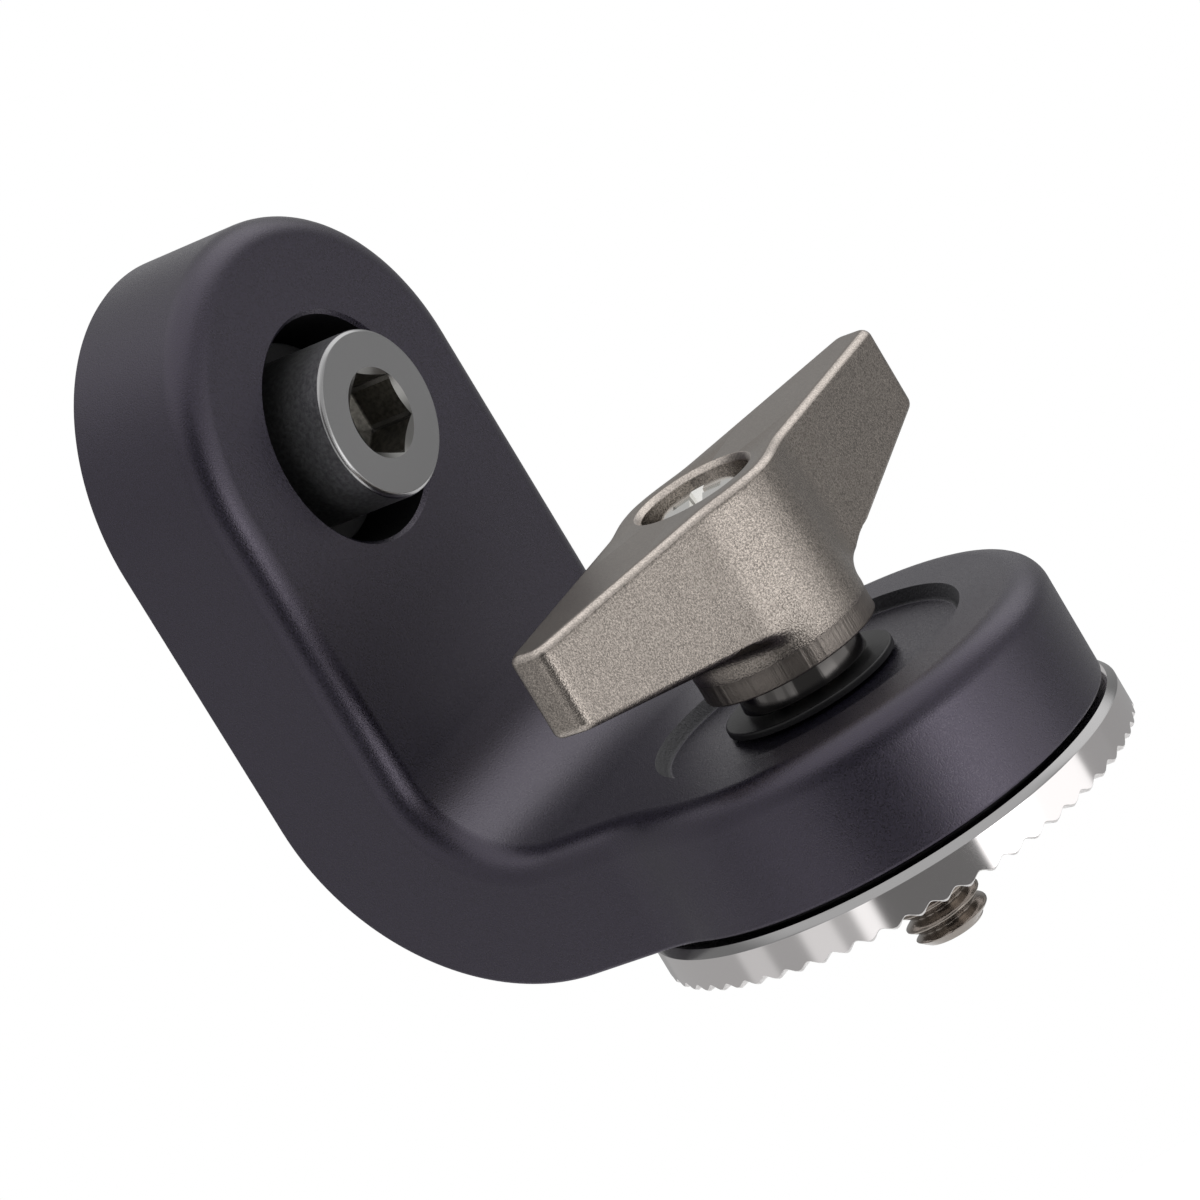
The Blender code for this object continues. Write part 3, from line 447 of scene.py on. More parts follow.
class Forge:
    """Makes meshes and dresses them for their place in the model."""

    merge_metres: float = 1e-7
    even_weight: int = 80

    def __init__(self) -> None:
        """Make the shared effects and an empty store of materials."""
        self.effects = Effects()
        self.made: dict[str, bpy.types.Material] = {}

    def material(self, finish: Finish) -> bpy.types.Material:
        """Give the material of a finish, made once.

        Args:
            finish: The finish.

        Returns:
            The material.
        """
        if finish.name not in self.made:
            self.made[finish.name] = finish.make(self.effects)
        return self.made[finish.name]

    def mesh(self, name: str, verts: np.ndarray, faces: list[list[int]]) -> bpy.types.Object:
        """Make an object from points in millimetres, with its faces pointing out.

        Args:
            name: The object's name.
            verts: The points.
            faces: The faces as point numbers.

        Returns:
            The linked object.
        """
        mesh = bpy.data.meshes.new(name)
        mesh.from_pydata((np.asarray(verts, dtype=float) * MM).tolist(), [], faces)
        work = bmesh.new()
        work.from_mesh(mesh)
        bmesh.ops.remove_doubles(work, verts=work.verts, dist=self.merge_metres)
        bmesh.ops.recalc_face_normals(work, faces=work.faces)
        work.to_mesh(mesh)
        work.free()
        obj = bpy.data.objects.new(name, mesh)
        bpy.context.scene.collection.objects.link(obj)
        return obj

    @staticmethod
    def grid_faces(rows: int, count: int, closed: bool) -> list[list[int]]:
        """List the faces of a stack of closed loops: each joins two neighbours of one loop to those of the next.

        Args:
            rows: How many loops there are.
            count: How many points each loop has.
            closed: Whether the last loop joins the first, or both ends get a cap.

        Returns:
            The faces as point numbers.
        """
        here = np.arange(rows if closed else rows - 1)[:, None] * count
        ahead = (here + count) % (rows * count)
        j = np.arange(count)[None, :]
        n = (j + 1) % count
        faces = np.stack([here + j, here + n, ahead + n, ahead + j], axis=-1).reshape(-1, 4).tolist()
        if not closed:
            faces.append(list(range(count - 1, -1, -1)))
            faces.append(list(range((rows - 1) * count, rows * count)))
        return faces

    def grid(self, name: str, loops: np.ndarray, closed: bool = False) -> bpy.types.Object:
        """Make a closed body from loops with the same number of points, by loop and place in it, in millimetres."""
        rows, count = loops.shape[:2]
        return self.mesh(name, loops.reshape(-1, 3), self.grid_faces(rows, count, closed))

    def lathe(
        self, name: str, profile: Profile, steps: int = 96, closed: bool = False, axis: Axis = Axis.STUD
    ) -> bpy.types.Object:
        """Turn a profile of radius and height pairs about an axis.

        Args:
            name: The object's name.
            profile: The pairs in order, in millimetres.
            steps: How many points go round.
            closed: Whether the profile closes on itself, as a tube's does.
            axis: The axis to turn about; heights along the cap axis start at the upper arm's inner face.

        Returns:
            The linked object.
        """
        obj = self.grid(name, carried_round(profile, turns(steps)), closed)
        return self.to_axis(obj, axis)

    @staticmethod
    def to_axis(obj: bpy.types.Object, axis: Axis) -> bpy.types.Object:
        """Move a body made about Z to its axis, with the place in its mesh.

        Args:
            obj: The body.
            axis: The axis it belongs to.

        Returns:
            The same body.
        """
        if axis is Axis.CAP:
            obj.data.transform(Matrix.Translation(SIZES.cap_point) @ Matrix.Rotation(QUARTER, 4, "Y"))
        return obj

    @staticmethod
    def cut(obj: bpy.types.Object, cutters: list[bpy.types.Object]) -> bpy.types.Object:
        """Cut bodies out of an object for good, and delete the cutters.

        Args:
            obj: The object to cut.
            cutters: The bodies to take away.

        Returns:
            The same object.
        """
        for cutter in cutters:
            mod = obj.modifiers.new("cut", "BOOLEAN")
            mod.solver = "EXACT"
            mod.object = cutter
        graph = bpy.context.evaluated_depsgraph_get()
        done = bpy.data.meshes.new_from_object(obj.evaluated_get(graph))
        obj.modifiers.clear()
        obj.data = done
        for cutter in cutters:
            bpy.data.objects.remove(cutter, do_unlink=True)
        return obj

    def accent(self, obj: bpy.types.Object, finish: Finish, chosen: np.ndarray) -> None:
        """Give some faces of a dressed piece a second finish.

        Args:
            obj: The piece.
            finish: The finish for the chosen faces.
            chosen: Whether each face is one of them.
        """
        obj.data.materials.append(self.material(finish))
        numbers = np.zeros(len(obj.data.polygons), dtype=np.int32)
        obj.data.polygons.foreach_get("material_index", numbers)
        numbers[chosen] = len(obj.data.materials) - 1
        obj.data.polygons.foreach_set("material_index", numbers)

    @staticmethod
    def face_places(obj: bpy.types.Object) -> tuple[np.ndarray, np.ndarray]:
        """Find where each face of a piece is and where it points.

        Args:
            obj: The piece.

        Returns:
            The middle of each face in millimetres, and its normal.
        """
        polygons = obj.data.polygons
        middle, normal = np.empty(len(polygons) * 3), np.empty(len(polygons) * 3)
        polygons.foreach_get("center", middle)
        polygons.foreach_get("normal", normal)
        return middle.reshape(-1, 3) / MM, normal.reshape(-1, 3)

    def dress(
        self, obj: bpy.types.Object, finish: Finish, body: Body, nodes: list[str], sharp: float = 32.0
    ) -> bpy.types.Object:
        """Give a piece its finish, its shading, and its place in the model.

        Args:
            obj: The piece.
            finish: Its finish.
            body: The body it rides on.
            nodes: The solids it stands for.
            sharp: The angle in degrees above which an edge stays sharp.

        Returns:
            The piece.
        """
        obj.data.materials.clear()
        obj.data.materials.append(self.material(finish))
        obj.data.shade_smooth()
        obj.data.set_sharp_from_angle(angle=math.radians(sharp))
        even = obj.modifiers.new("even_normals", "WEIGHTED_NORMAL")
        even.keep_sharp = True
        even.weight = self.even_weight
        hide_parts(*nodes)
        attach(obj, body.value)
        LOG.info("%s: %d faces for %s", obj.name, len(obj.data.polygons), ", ".join(nodes))
        return obj


def turns(steps: int) -> np.ndarray:
    """Return evenly spaced angles of one full turn."""
    return np.arange(steps) * FULL / steps


def carried_round(rows: list[Row], angles: np.ndarray) -> np.ndarray:
    """Carry rows round Z: x is radius times cosine, y is radius times sine, z is height.

    Args:
        rows: Radius and height of each row, as numbers or as one value for each angle.
        angles: The angles in radians.

    Returns:
        Points by row and angle.
    """
    radius = np.array([np.broadcast_to(r, angles.shape) for r, _ in rows])
    height = np.array([np.broadcast_to(z, angles.shape) for _, z in rows])
    return np.stack([radius * np.cos(angles), radius * np.sin(angles), height], axis=-1)


def rounded(profile: list[tuple[float, float, float]], steps: int = 5, most: float = 0.49) -> Profile:
    """Round the corners of an open profile with curves that leave one side and arrive along the next.

    Args:
        profile: Radius, height and corner radius of each point.
        steps: How many pieces each round has.
        most: The largest share of a side that one round may take.

    Returns:
        The finer profile of radius and height pairs.
    """
    points = np.array([p[:2] for p in profile], dtype=float)
    t = np.linspace(0.0, 1.0, steps + 1)[:, None]
    fine: Profile = []
    for i, (r, z, size) in enumerate(profile):
        if size <= 0.0 or i in (0, len(profile) - 1):
            fine.append((r, z))
            continue
        here = points[i]
        back, ahead = points[i - 1] - here, points[i + 1] - here
        long_back, long_ahead = np.linalg.norm(back), np.linalg.norm(ahead)
        reach = min(size, long_back * most, long_ahead * most)
        start, end = here + back / long_back * reach, here + ahead / long_ahead * reach
        curve = start * (1.0 - t) ** 2 + here * 2.0 * t * (1.0 - t) + end * t * t
        fine += [tuple(point) for point in curve.tolist()]
    return fine


@dataclass(frozen=True)
class Thread:
    """A right-hand thread with a tapered end, in millimetres; it runs down from its start."""

    outer: float
    depth: float
    pitch: float
    start: float
    end: float
    lead: float
    rows_per_turn: int = 18
    crest: float = 1.2
    flank: float = 4.6
    softness: float = 0.4
    cone_gap: float = 0.15

    def loops(self, steps: int) -> np.ndarray:
        """Work out the thread's loops.

        The radius falls from the crest by the thread's depth as the height, less the turn's share of a pitch, leaves
        the crest; near the end it may not rise above a cone.

        Args:
            steps: How many points go round.

        Returns:
            Points by loop and angle, from start to end.
        """
        t = turns(steps)[None, :]
        rows = int(round(abs(self.end - self.start) / self.pitch * self.rows_per_turn)) + 1
        z = np.linspace(self.start, self.end, rows)[:, None]
        phase = (z / self.pitch - t / FULL) % 1.0
        wave = np.clip(self.crest - np.abs(phase - 0.5) * self.flank, -1.0, 1.0) * 0.5 + 0.5
        wave = wave * wave * (3.0 - 2.0 * wave) * self.softness + wave * (1.0 - self.softness)
        fall = self.depth + self.cone_gap
        cone = self.outer - fall + np.minimum(np.abs(self.end - z), self.lead) / self.lead * fall
        radius = np.minimum(self.outer - self.depth * (1.0 - wave), cone)
        return np.stack([radius * np.cos(t), radius * np.sin(t), np.broadcast_to(z, radius.shape)], axis=-1)


@dataclass
class Arm:
    """The bent arm: a right angle with a round upper end and a disc at the lower end."""

    end_steps: int = 56
    bend_steps: int = 48
    neck_steps: int = 20
    disc_steps: int = 88
    round_steps: int = 14
    well_steps: int = 160
    hole_steps: int = 144
    chamfer_bow: float = 0.3
    overshoot: float = 1.0
    floor_round: float = 0.25
    lip_height: float = 0.05
    lip_width: float = 0.1
    hole_break: float = 0.3
    hole_lip: float = 0.02
    bore_touch: float = 0.02
    rim_margin: float = 0.2
    rim_tilt: float = 0.9
    bore_start: float = 0.35
    bore_margin: float = 0.1
    touch: float = 0.01
    sharp: float = 24.0

    def half_outline(self) -> tuple[np.ndarray, np.ndarray, np.ndarray]:
        """Work out one side of the arm from the top of the upper arm to the front of the disc.

        A quarter circle goes down to the straight side, the bend runs two quarter circles about two centres, one arc
        leads out of the neck, and the last goes round the disc.

        Returns:
            Inner edge points, outer edge points and outward directions.
        """
        s = SIZES
        inner_x, outer_x, half = -s.reach, -s.reach - s.upper_thick, s.half_width
        t = np.linspace(QUARTER, 0.0, self.end_steps + 1)
        zero = np.zeros_like(t)
        sides = [np.stack([zero, np.cos(t), np.sin(t)], axis=1)]
        top = sides[0] * half + [0.0, 0.0, s.arm_top + s.cap_rise]
        near, far = [top + [inner_x, 0.0, 0.0]], [top + [outer_x, 0.0, 0.0]]
        t = np.linspace(0.0, QUARTER, self.bend_steps + 1)
        c, d, zero = 1.0 - np.cos(t), 1.0 - np.sin(t), np.zeros_like(t)
        near.append(np.stack([inner_x + s.bend_inner * c, zero + half, s.arm_top + s.bend_inner * d], axis=1))
        far.append(np.stack([outer_x + s.bend_outer * c, zero + half, s.arm_bottom + s.bend_outer * d], axis=1))
        sides.append(np.stack([zero, zero + 1.0, zero], axis=1))
        blend_y = half + s.neck_blend
        blend_x = -math.sqrt((s.disc_radius + s.neck_blend) ** 2 - blend_y**2)
        swing = math.atan2(-blend_x, blend_y)
        t = np.linspace(0.0, swing, self.neck_steps + 1)
        neck = np.stack([-np.sin(t), np.cos(t), np.zeros_like(t)], axis=1)
        t = np.linspace(QUARTER + swing, 0.0, self.disc_steps + 1)[1:]
        disc = np.stack([np.cos(t), np.sin(t), np.zeros_like(t)], axis=1)
        spots = np.concatenate([[blend_x, blend_y, 0.0] - s.neck_blend * neck, s.disc_radius * disc])
        near.append(spots + [0.0, 0.0, s.arm_top])
        far.append(spots + [0.0, 0.0, s.arm_bottom])
        sides += [neck, disc]
        return np.concatenate(near), np.concatenate(far), np.concatenate(sides)

    def surface(self, forge: Forge) -> bpy.types.Object:
        """Make the arm's closed outside, before its holes.

        Each loop is the outline, moved from the inner edge toward the outer one by a depth and inward by an inset; the
        depths and insets follow a quarter circle at the rounded edge and a small chamfer at the back.

        Args:
            forge: The mesh maker.

        Returns:
            The linked object.
        """
        s = SIZES
        flip = np.array([1.0, -1.0, 1.0])
        half = self.half_outline()
        near, far, side = (np.concatenate([part, part[-2:0:-1] * flip]) for part in half)
        along = (far - near) / np.linalg.norm(far - near, axis=1)[:, None]
        t = np.linspace(0.0, QUARTER, self.round_steps + 1)[:, None, None]
        front = near + along * s.edge_round * (1.0 - np.cos(t)) - side * s.edge_round * (1.0 - np.sin(t))
        edge = np.array([0.0, self.chamfer_bow, 1.0])[:, None, None] * s.edge_chamfer
        loops = np.concatenate([front, far - along * edge[::-1] - side * edge])
        rows, count = loops.shape[:2]
        faces = forge.grid_faces(rows, count, False)[:-2]
        first, last = self.end_steps + 1, self.end_steps + 1 + self.bend_steps
        size = len(half[0])
        order = np.arange(count)
        mirror = (count - order) % count
        upper = np.concatenate([mirror[first:0:-1], order[: first + 1]])
        lower = np.concatenate([order[last:size], mirror[size - 2 : last - 1 : -1]])
        i = order[first:last]
        strips = np.stack([i, i + 1, mirror[i + 1], mirror[i]], axis=1).tolist()
        for patch in [upper.tolist(), lower.tolist()] + strips:
            faces.append(patch)
            faces.append([(rows - 1) * count + i for i in reversed(patch)])
        return forge.mesh("arm_surface", loops.reshape(-1, 3), faces)

    def build(self, forge: Forge) -> None:
        """Make the arm with its recess, bores and counterbore, and dress it.

        Args:
            forge: The mesh maker.
        """
        s = SIZES
        top, lip = s.recess_radius, s.recess_radius + self.lip_width
        well = rounded(
            [
                (s.clip_pocket, s.arm_bottom - self.overshoot, 0.0),
                (s.clip_pocket, s.clip_ceiling, 0.0),
                (s.arm_bore, s.clip_ceiling, 0.0),
                (s.arm_bore, s.recess_floor, 0.0),
                (top - s.recess_slope, s.recess_floor, self.floor_round),
                (top, s.arm_top - self.lip_height, 0.0),
                (lip, s.arm_top + self.lip_height, 0.0),
                (lip, s.arm_top + self.overshoot, 0.0),
            ]
        )
        back, mouth = s.retainer_radius + s.fit, s.cbore_radius + self.hole_break
        hole = [
            (back, -s.upper_thick - self.overshoot),
            (back, -s.retainer_start),
            (s.cap_hole, -s.retainer_start),
            (s.cap_hole, -s.cbore_depth),
            (s.cbore_radius, -s.cbore_depth),
            (s.cbore_radius, -self.hole_break),
            (mouth, self.hole_lip),
            (mouth, self.overshoot),
        ]
        cutters = [
            forge.lathe("cut_well", well, self.well_steps),
            forge.lathe("cut_hole", hole, self.hole_steps, axis=Axis.CAP),
        ]
        arm = forge.cut(self.surface(forge), cutters)
        forge.dress(arm, BLACK_ARM, Body.BRACKET, ["bracket_arm"], self.sharp)
        middle, normal = forge.face_places(arm)
        wide, high = np.hypot(middle[:, 0], middle[:, 1]), middle[:, 2]
        # The recess's sloping rim gets a lighter, matte copy of the arm's black: painted light on the slope.
        slope = (wide > top - s.recess_slope - self.rim_margin) & (wide < top + self.rim_margin)
        slope &= (normal[:, 2] < self.rim_tilt) & (high > s.recess_floor) & (high < s.arm_top + self.touch)
        forge.accent(arm, ARM_RIM_PAINTED_LIGHT, slope)
        # The counterbore's faces get a darker, duller copy of the arm's black: painted shade in the hole.
        out = middle - np.array(s.cap_point) / MM
        deep = (out[:, 0] < -self.bore_start) & (out[:, 0] > -s.cbore_depth - self.bore_margin)
        forge.accent(arm, ARM_BORE_PAINTED_SHADE, deep & (np.hypot(out[:, 1], out[:, 2]) < s.cbore_radius + self.bore_touch))


@dataclass
class Rosette:
    """The toothed ring under the disc, with its screws.

    The tables of the seat, the screw and its socket hold radius and height above the flat land inside the teeth.
    """

    radius: float = 19.5
    top: float = 3.4
    chamfer: float = 0.55
    chamfer_in: float = 0.1
    chamfer_up: float = 0.14
    teeth: int = 60
    per_tooth: int = 12
    tooth_height: float = 0.65
    tooth_edge: float = 0.2
    tooth_inner: float = 14.2
    tooth_run: float = 0.4
    tooth_power: float = 0.85
    tip_gap: float = 0.05
    edge_break: float = 0.06
    edge_lift: float = 0.02
    bore: float = 4.175
    pocket: float = 17.9
    screws: int = 4
    first_screw: float = 45.0
    screw_steps: int = 48
    seat: Table = ((3.05, -1.0), (3.05, 0.57), (1.8, 1.82), (1.8, 3.45))
    screw_body: Table = ((2.55, 0.3), (2.72, 0.36), (2.75, 0.45), (1.5, 1.7), (1.5, 7.6), (1.1, 8.0))
    socket: Table = ((1.15, -0.2), (1.15, 1.3))
    touch: float = 0.02
    chamfer_tilt: float = 0.2
    tooth_tilt: float = 0.15
    tooth_margin: float = 0.3
    sharp: float = 28.0

    def build(self, forge: Forge) -> None:
        """Make the ring and its screws, and dress them.

        The underside's height is a cosine wave round the axis between the tooth circle and the edge, and flat inside.

        Args:
            forge: The mesh maker.
        """
        s = SIZES
        t = turns(self.teeth * self.per_tooth)
        wave = (0.5 - 0.5 * np.cos(t * self.teeth)) ** self.tooth_power
        dip = self.tooth_height * (1.0 - wave)
        lift = self.tooth_edge + dip * (1.0 - self.tooth_edge / self.tooth_height)
        edge, shoulder, inner = self.radius, self.top - self.chamfer, self.tooth_inner - self.tooth_run
        rows: list[Row] = [
            (self.bore, s.land),
            (inner, s.land),
            (self.tooth_inner, dip),
            (edge - self.tooth_edge - self.tip_gap, dip),
            (edge - self.edge_break, lift - self.edge_break),
            (edge, lift + self.edge_lift),
            (edge, shoulder),
            (edge - self.chamfer_in, shoulder + self.chamfer_up),
            (edge - self.chamfer, self.top),
            (self.pocket, self.top),
            (self.pocket, s.pocket_floor),
            (self.bore, s.pocket_floor),
        ]
        ring = forge.grid("ring_surface", carried_round(rows, t), closed=True)
        cutters = [self.turned(forge, f"cut_seat_{i}", self.seat) for i in range(self.screws)]
        for i, cutter in enumerate(cutters):
            cutter.data.transform(self.corner(i))
        forge.cut(ring, cutters)
        forge.dress(ring, RING_METAL, Body.BRACKET, ["rosette_ring"], self.sharp)
        middle, normal = forge.face_places(ring)
        wide, high, tilt = np.hypot(middle[:, 0], middle[:, 1]), middle[:, 2], normal[:, 2]
        # The upper chamfer gets a darker copy of the ring's metal: painted shade.
        outer = (wide > edge - self.chamfer - self.touch) & (high > shoulder - self.touch)
        forge.accent(ring, RING_CHAMFER_SHADE, outer & (tilt > self.chamfer_tilt))
        # The teeth's downward faces get a rougher, darker metal: real milling plus painted shade.
        toothed = (wide > inner) & (high < self.tooth_height + self.tooth_margin)
        forge.accent(ring, RING_TEETH_MILLED_AND_SHADED, toothed & (tilt < -self.tooth_tilt))
        for i in range(self.screws):
            self.screw(forge, i)

    def turned(self, forge: Forge, name: str, table: Table, steps: int | None = None) -> bpy.types.Object:
        """Turn a table of radius and height above the land about the stud's axis."""
        return forge.lathe(name, [(r, SIZES.land + z) for r, z in table], steps or self.screw_steps)

    def corner(self, number: int) -> Matrix:
        """Return the place of one ring screw."""
        t = math.radians(self.first_screw) + FULL / self.screws * number
        return Matrix.Translation(Vector((math.cos(t), math.sin(t), 0.0)) * SIZES.screw_circle * MM)

    def screw(self, forge: Forge, number: int) -> None:
        """Make one countersunk screw with a hexagon socket.

        Args:
            forge: The mesh maker.
            number: Which of the four screws it is, from 0.
        """
        screw = self.turned(forge, f"ring_screw_{number + 1}", self.screw_body)
        forge.cut(screw, [self.turned(forge, "cut_socket", self.socket, HEXAGON)])
        screw.data.transform(self.corner(number))
        forge.dress(screw, SMALL_METAL, Body.BRACKET, [f"rosette_screw_{number + 1}"])


@dataclass
class Lever:
    """The cast T-lever: two tapered wings that flow into a round boss.

    The rim's table holds how much wider than the bore and how far below the top each step is. Spans hold the first and
    last angle in degrees and the steps between them. Levels count the rows of foot, base, slope, wall and crown.
    """

    length: float = 47.8
    tip_width: float = 3.4
    root_width: float = 9.0
    root_at: float = 8.0
    tip_height: float = 6.8
    root_rise: float = 3.7
    boss_low: float = 7.2
    boss_high: float = 6.5
    blend_low: float = 1.0
    blend_high: float = 1.3
    blend_start: float = 0.6
    blend_span: float = 4.5
    top_round: float = 0.75
    edge_round: float = 0.6
    tip_round: float = 1.0
    foot_round: float = 0.35
    foot_radius: float = 7.05
    foot_height: float = 1.3
    cove: float = 3.2
    far_off: float = 99.0
    bore: float = 4.45
    rim: Table = ((0.42, 0.0), (0.36, 0.04), (0.04, 0.38), (0.0, 0.46))
    shelf: float = 5.5
    web: float = 4.4
    spline_low: float = 1.9
    screw_hole: float = 2.3
    slide_fit: float = 0.35
    clear_gap: float = 0.15
    nearest: float = 2.0
    farthest: float = 27.0
    halvings: int = 34
    spans: tuple[tuple[float, float, int], ...] = ((0.0, 3.0, 8), (3.0, 6.0, 15), (6.0, 42.0, 71), (42.0, 90.0, 24))
    under_root: float = 1.4
    over_tip: float = 1.0
    levels: tuple[int, ...] = (7, 8, 84, 14, 10)
    flat_tilt: float = 0.95
    edge_tilt: float = 0.3
    foot_margin: float = 0.4
    sharp: float = 38.0

    @property
    def root_z(self) -> float:
        """Return the height of the wings' underside at the boss."""
        return SIZES.lever_bottom + self.root_rise

    @property
    def tip_z(self) -> float:
        """Return the height of the wings' underside at their tips."""
        return SIZES.lever_top - self.tip_height

    @staticmethod
    def meet(radius: float, *planes: np.ndarray) -> np.ndarray:
        """Return the distance to the inside of several faces, with the edges between them rounded.

        Args:
            radius: The radius of the edges.
            planes: The distance to each face, negative inside.

        Returns:
            The distance, negative inside.
        """
        past = [plane + radius for plane in planes]
        inside = np.minimum(np.maximum.reduce(past), 0.0)
        outside = np.sqrt(sum(np.maximum(p, 0.0) ** 2 for p in past))
        return inside + outside - radius

    def distance(self, along: np.ndarray, across: np.ndarray, up: np.ndarray) -> np.ndarray:
        """Return how far points are outside the lever.

        The wings are the inside of two sides, two ends and a sloping underside, the boss is a cone, and the two flow
        together where their distances are alike. A turned foot with a hollow flare above it frees the underside.

        Args:
            along: Place along the wings.
            across: Place across the wings.
            up: Height.

        Returns:
            The distance, negative inside.
        """
        s = SIZES
        full, tip, root = self.length / 2.0, self.tip_width / 2.0, self.root_width / 2.0
        far = np.abs(along)
        slope = (root - tip) / (full - self.root_at)
        side = (np.abs(across) - tip - slope * (full - far)) / math.hypot(1.0, slope)
        rise = (self.tip_z - self.root_z) / (full - self.boss_low)
        under = (self.root_z + rise * (far - self.boss_low) - up) / math.hypot(1.0, rise)
        wing = self.meet(self.tip_round, side, far - full)
        wing = self.meet(self.edge_round, wing, under)
        share = (up - s.lever_bottom) / (s.lever_top - s.lever_bottom)
        boss = np.hypot(along, across) - (self.boss_low + (self.boss_high - self.boss_low) * share)
        boss = self.meet(self.foot_round, boss, s.lever_bottom - up)
        rise = np.clip((up - self.root_z + self.blend_start) / self.blend_span, 0.0, 1.0)
        blend = self.blend_low + (self.blend_high - self.blend_low) * rise * rise * (3.0 - 2.0 * rise)
        near = np.maximum(blend - np.abs(wing - boss), 0.0) / blend
        both = np.minimum(wing, boss) - near * near * blend / 4.0
        climb = np.clip(up - s.lever_bottom - self.foot_height, 0.0, self.cove)
        flare = self.cove - np.sqrt(self.cove**2 - climb**2)
        free = np.where(climb < self.cove, 0.0, self.far_off)
        turned = np.hypot(along, across) - self.foot_radius - flare - free
        both = np.maximum(both, turned)
        return self.meet(self.top_round, both, up - s.lever_top)

    def angles(self) -> np.ndarray:
        """Space angles about the axis, close together on the wings.

        Returns:
            The angles in radians.
        """
        parts = [np.linspace(start, end, steps, endpoint=False) for start, end, steps in self.spans]
        quarter = np.concatenate([*parts, [self.spans[-1][1]]])
        half = np.concatenate([quarter, 180.0 - quarter[-2::-1]])
        return np.radians(np.concatenate([half, half[1:-1] + 180.0]))

    def heights(self) -> np.ndarray:
        """Space the heights of the levels, close together where the outline changes.

        Returns:
            The heights in millimetres, from the foot up.
        """
        foot_count, low_count, slope_count, wall_count, crown_count = self.levels
        bottom, top = SIZES.lever_bottom, SIZES.lever_top
        start, end = self.root_z - self.under_root, self.tip_z + self.over_tip
        foot = bottom + self.foot_round * (1.0 - np.cos(np.linspace(0.0, QUARTER, foot_count)))
        low = np.linspace(foot[-1], start, low_count)[1:]
        slope = np.linspace(start, end, slope_count)[1:]
        wall = np.linspace(end, top - self.top_round, wall_count)[1:]
        crown = top - self.top_round * (1.0 - np.sin(np.linspace(0.0, QUARTER, crown_count)))
        return np.concatenate([foot, low, slope, wall, crown[1:]])

    def surface(self, forge: Forge) -> bpy.types.Object:
        """Make the lever's outside by finding its edge along rays from the axis, and add its stepped bore.

        Args:
            forge: The mesh maker.

        Returns:
            The linked object.
        """
        s = SIZES
        turn, levels = self.angles(), self.heights()
        up, spin = np.meshgrid(levels, turn, indexing="ij")
        low, high = np.full(up.shape, self.nearest), np.full(up.shape, self.farthest)
        for _ in range(self.halvings):
            middle = (low + high) / 2.0
            out = self.distance(middle * np.cos(spin), middle * np.sin(spin), up) > 0.0
            high = np.where(out, middle, high)
            low = np.where(out, low, middle)
        rows: list[Row] = list(zip(low, levels))
        wave = 0.5 + 0.5 * np.cos(turn * s.spline_teeth)
        spline = s.spline_radius - s.spline_depth * (1.0 - wave) + self.slide_fit
        clear = s.spline_radius + self.slide_fit + self.clear_gap
        rows += [(self.bore + wide, s.lever_top - deep) for wide, deep in self.rim]
        rows += [
            (self.bore, s.collar_top + self.shelf),
            (self.screw_hole, s.collar_top + self.shelf),
            (self.screw_hole, s.collar_top + self.web),
            (spline, s.collar_top + self.web),
            (spline, s.collar_top + self.spline_low),
            (clear, s.collar_top + self.spline_low),
            (clear, s.lever_bottom),
        ]
        return forge.grid("lever_surface", carried_round(rows, turn + math.radians(s.lever_angle)), closed=True)

    def build(self, forge: Forge) -> None:
        """Make the lever and dress it.

        Args:
            forge: The mesh maker.
        """
        lever = forge.dress(self.surface(forge), CAST_LEVER, Body.LEVER, ["t_handle"], self.sharp)
        middle, normal = forge.face_places(lever)
        high, tilt = middle[:, 2], normal[:, 2]
        forge.accent(lever, LEVER_TOP, tilt > self.flat_tilt)
        # The crown's rounded edge gets a lighter metal: partly wear, partly a painted highlight.
        crown = high > SIZES.lever_top - self.top_round
        forge.accent(lever, LEVER_WORN_EDGE_AND_HIGHLIGHT, crown & (tilt > self.edge_tilt) & (tilt <= self.flat_tilt))
        foot = high < SIZES.lever_bottom + self.foot_height + self.foot_margin
        within = np.hypot(middle[:, 0], middle[:, 1]) < self.foot_radius + self.foot_margin
        forge.accent(lever, LEVER_FOOT, foot & within)


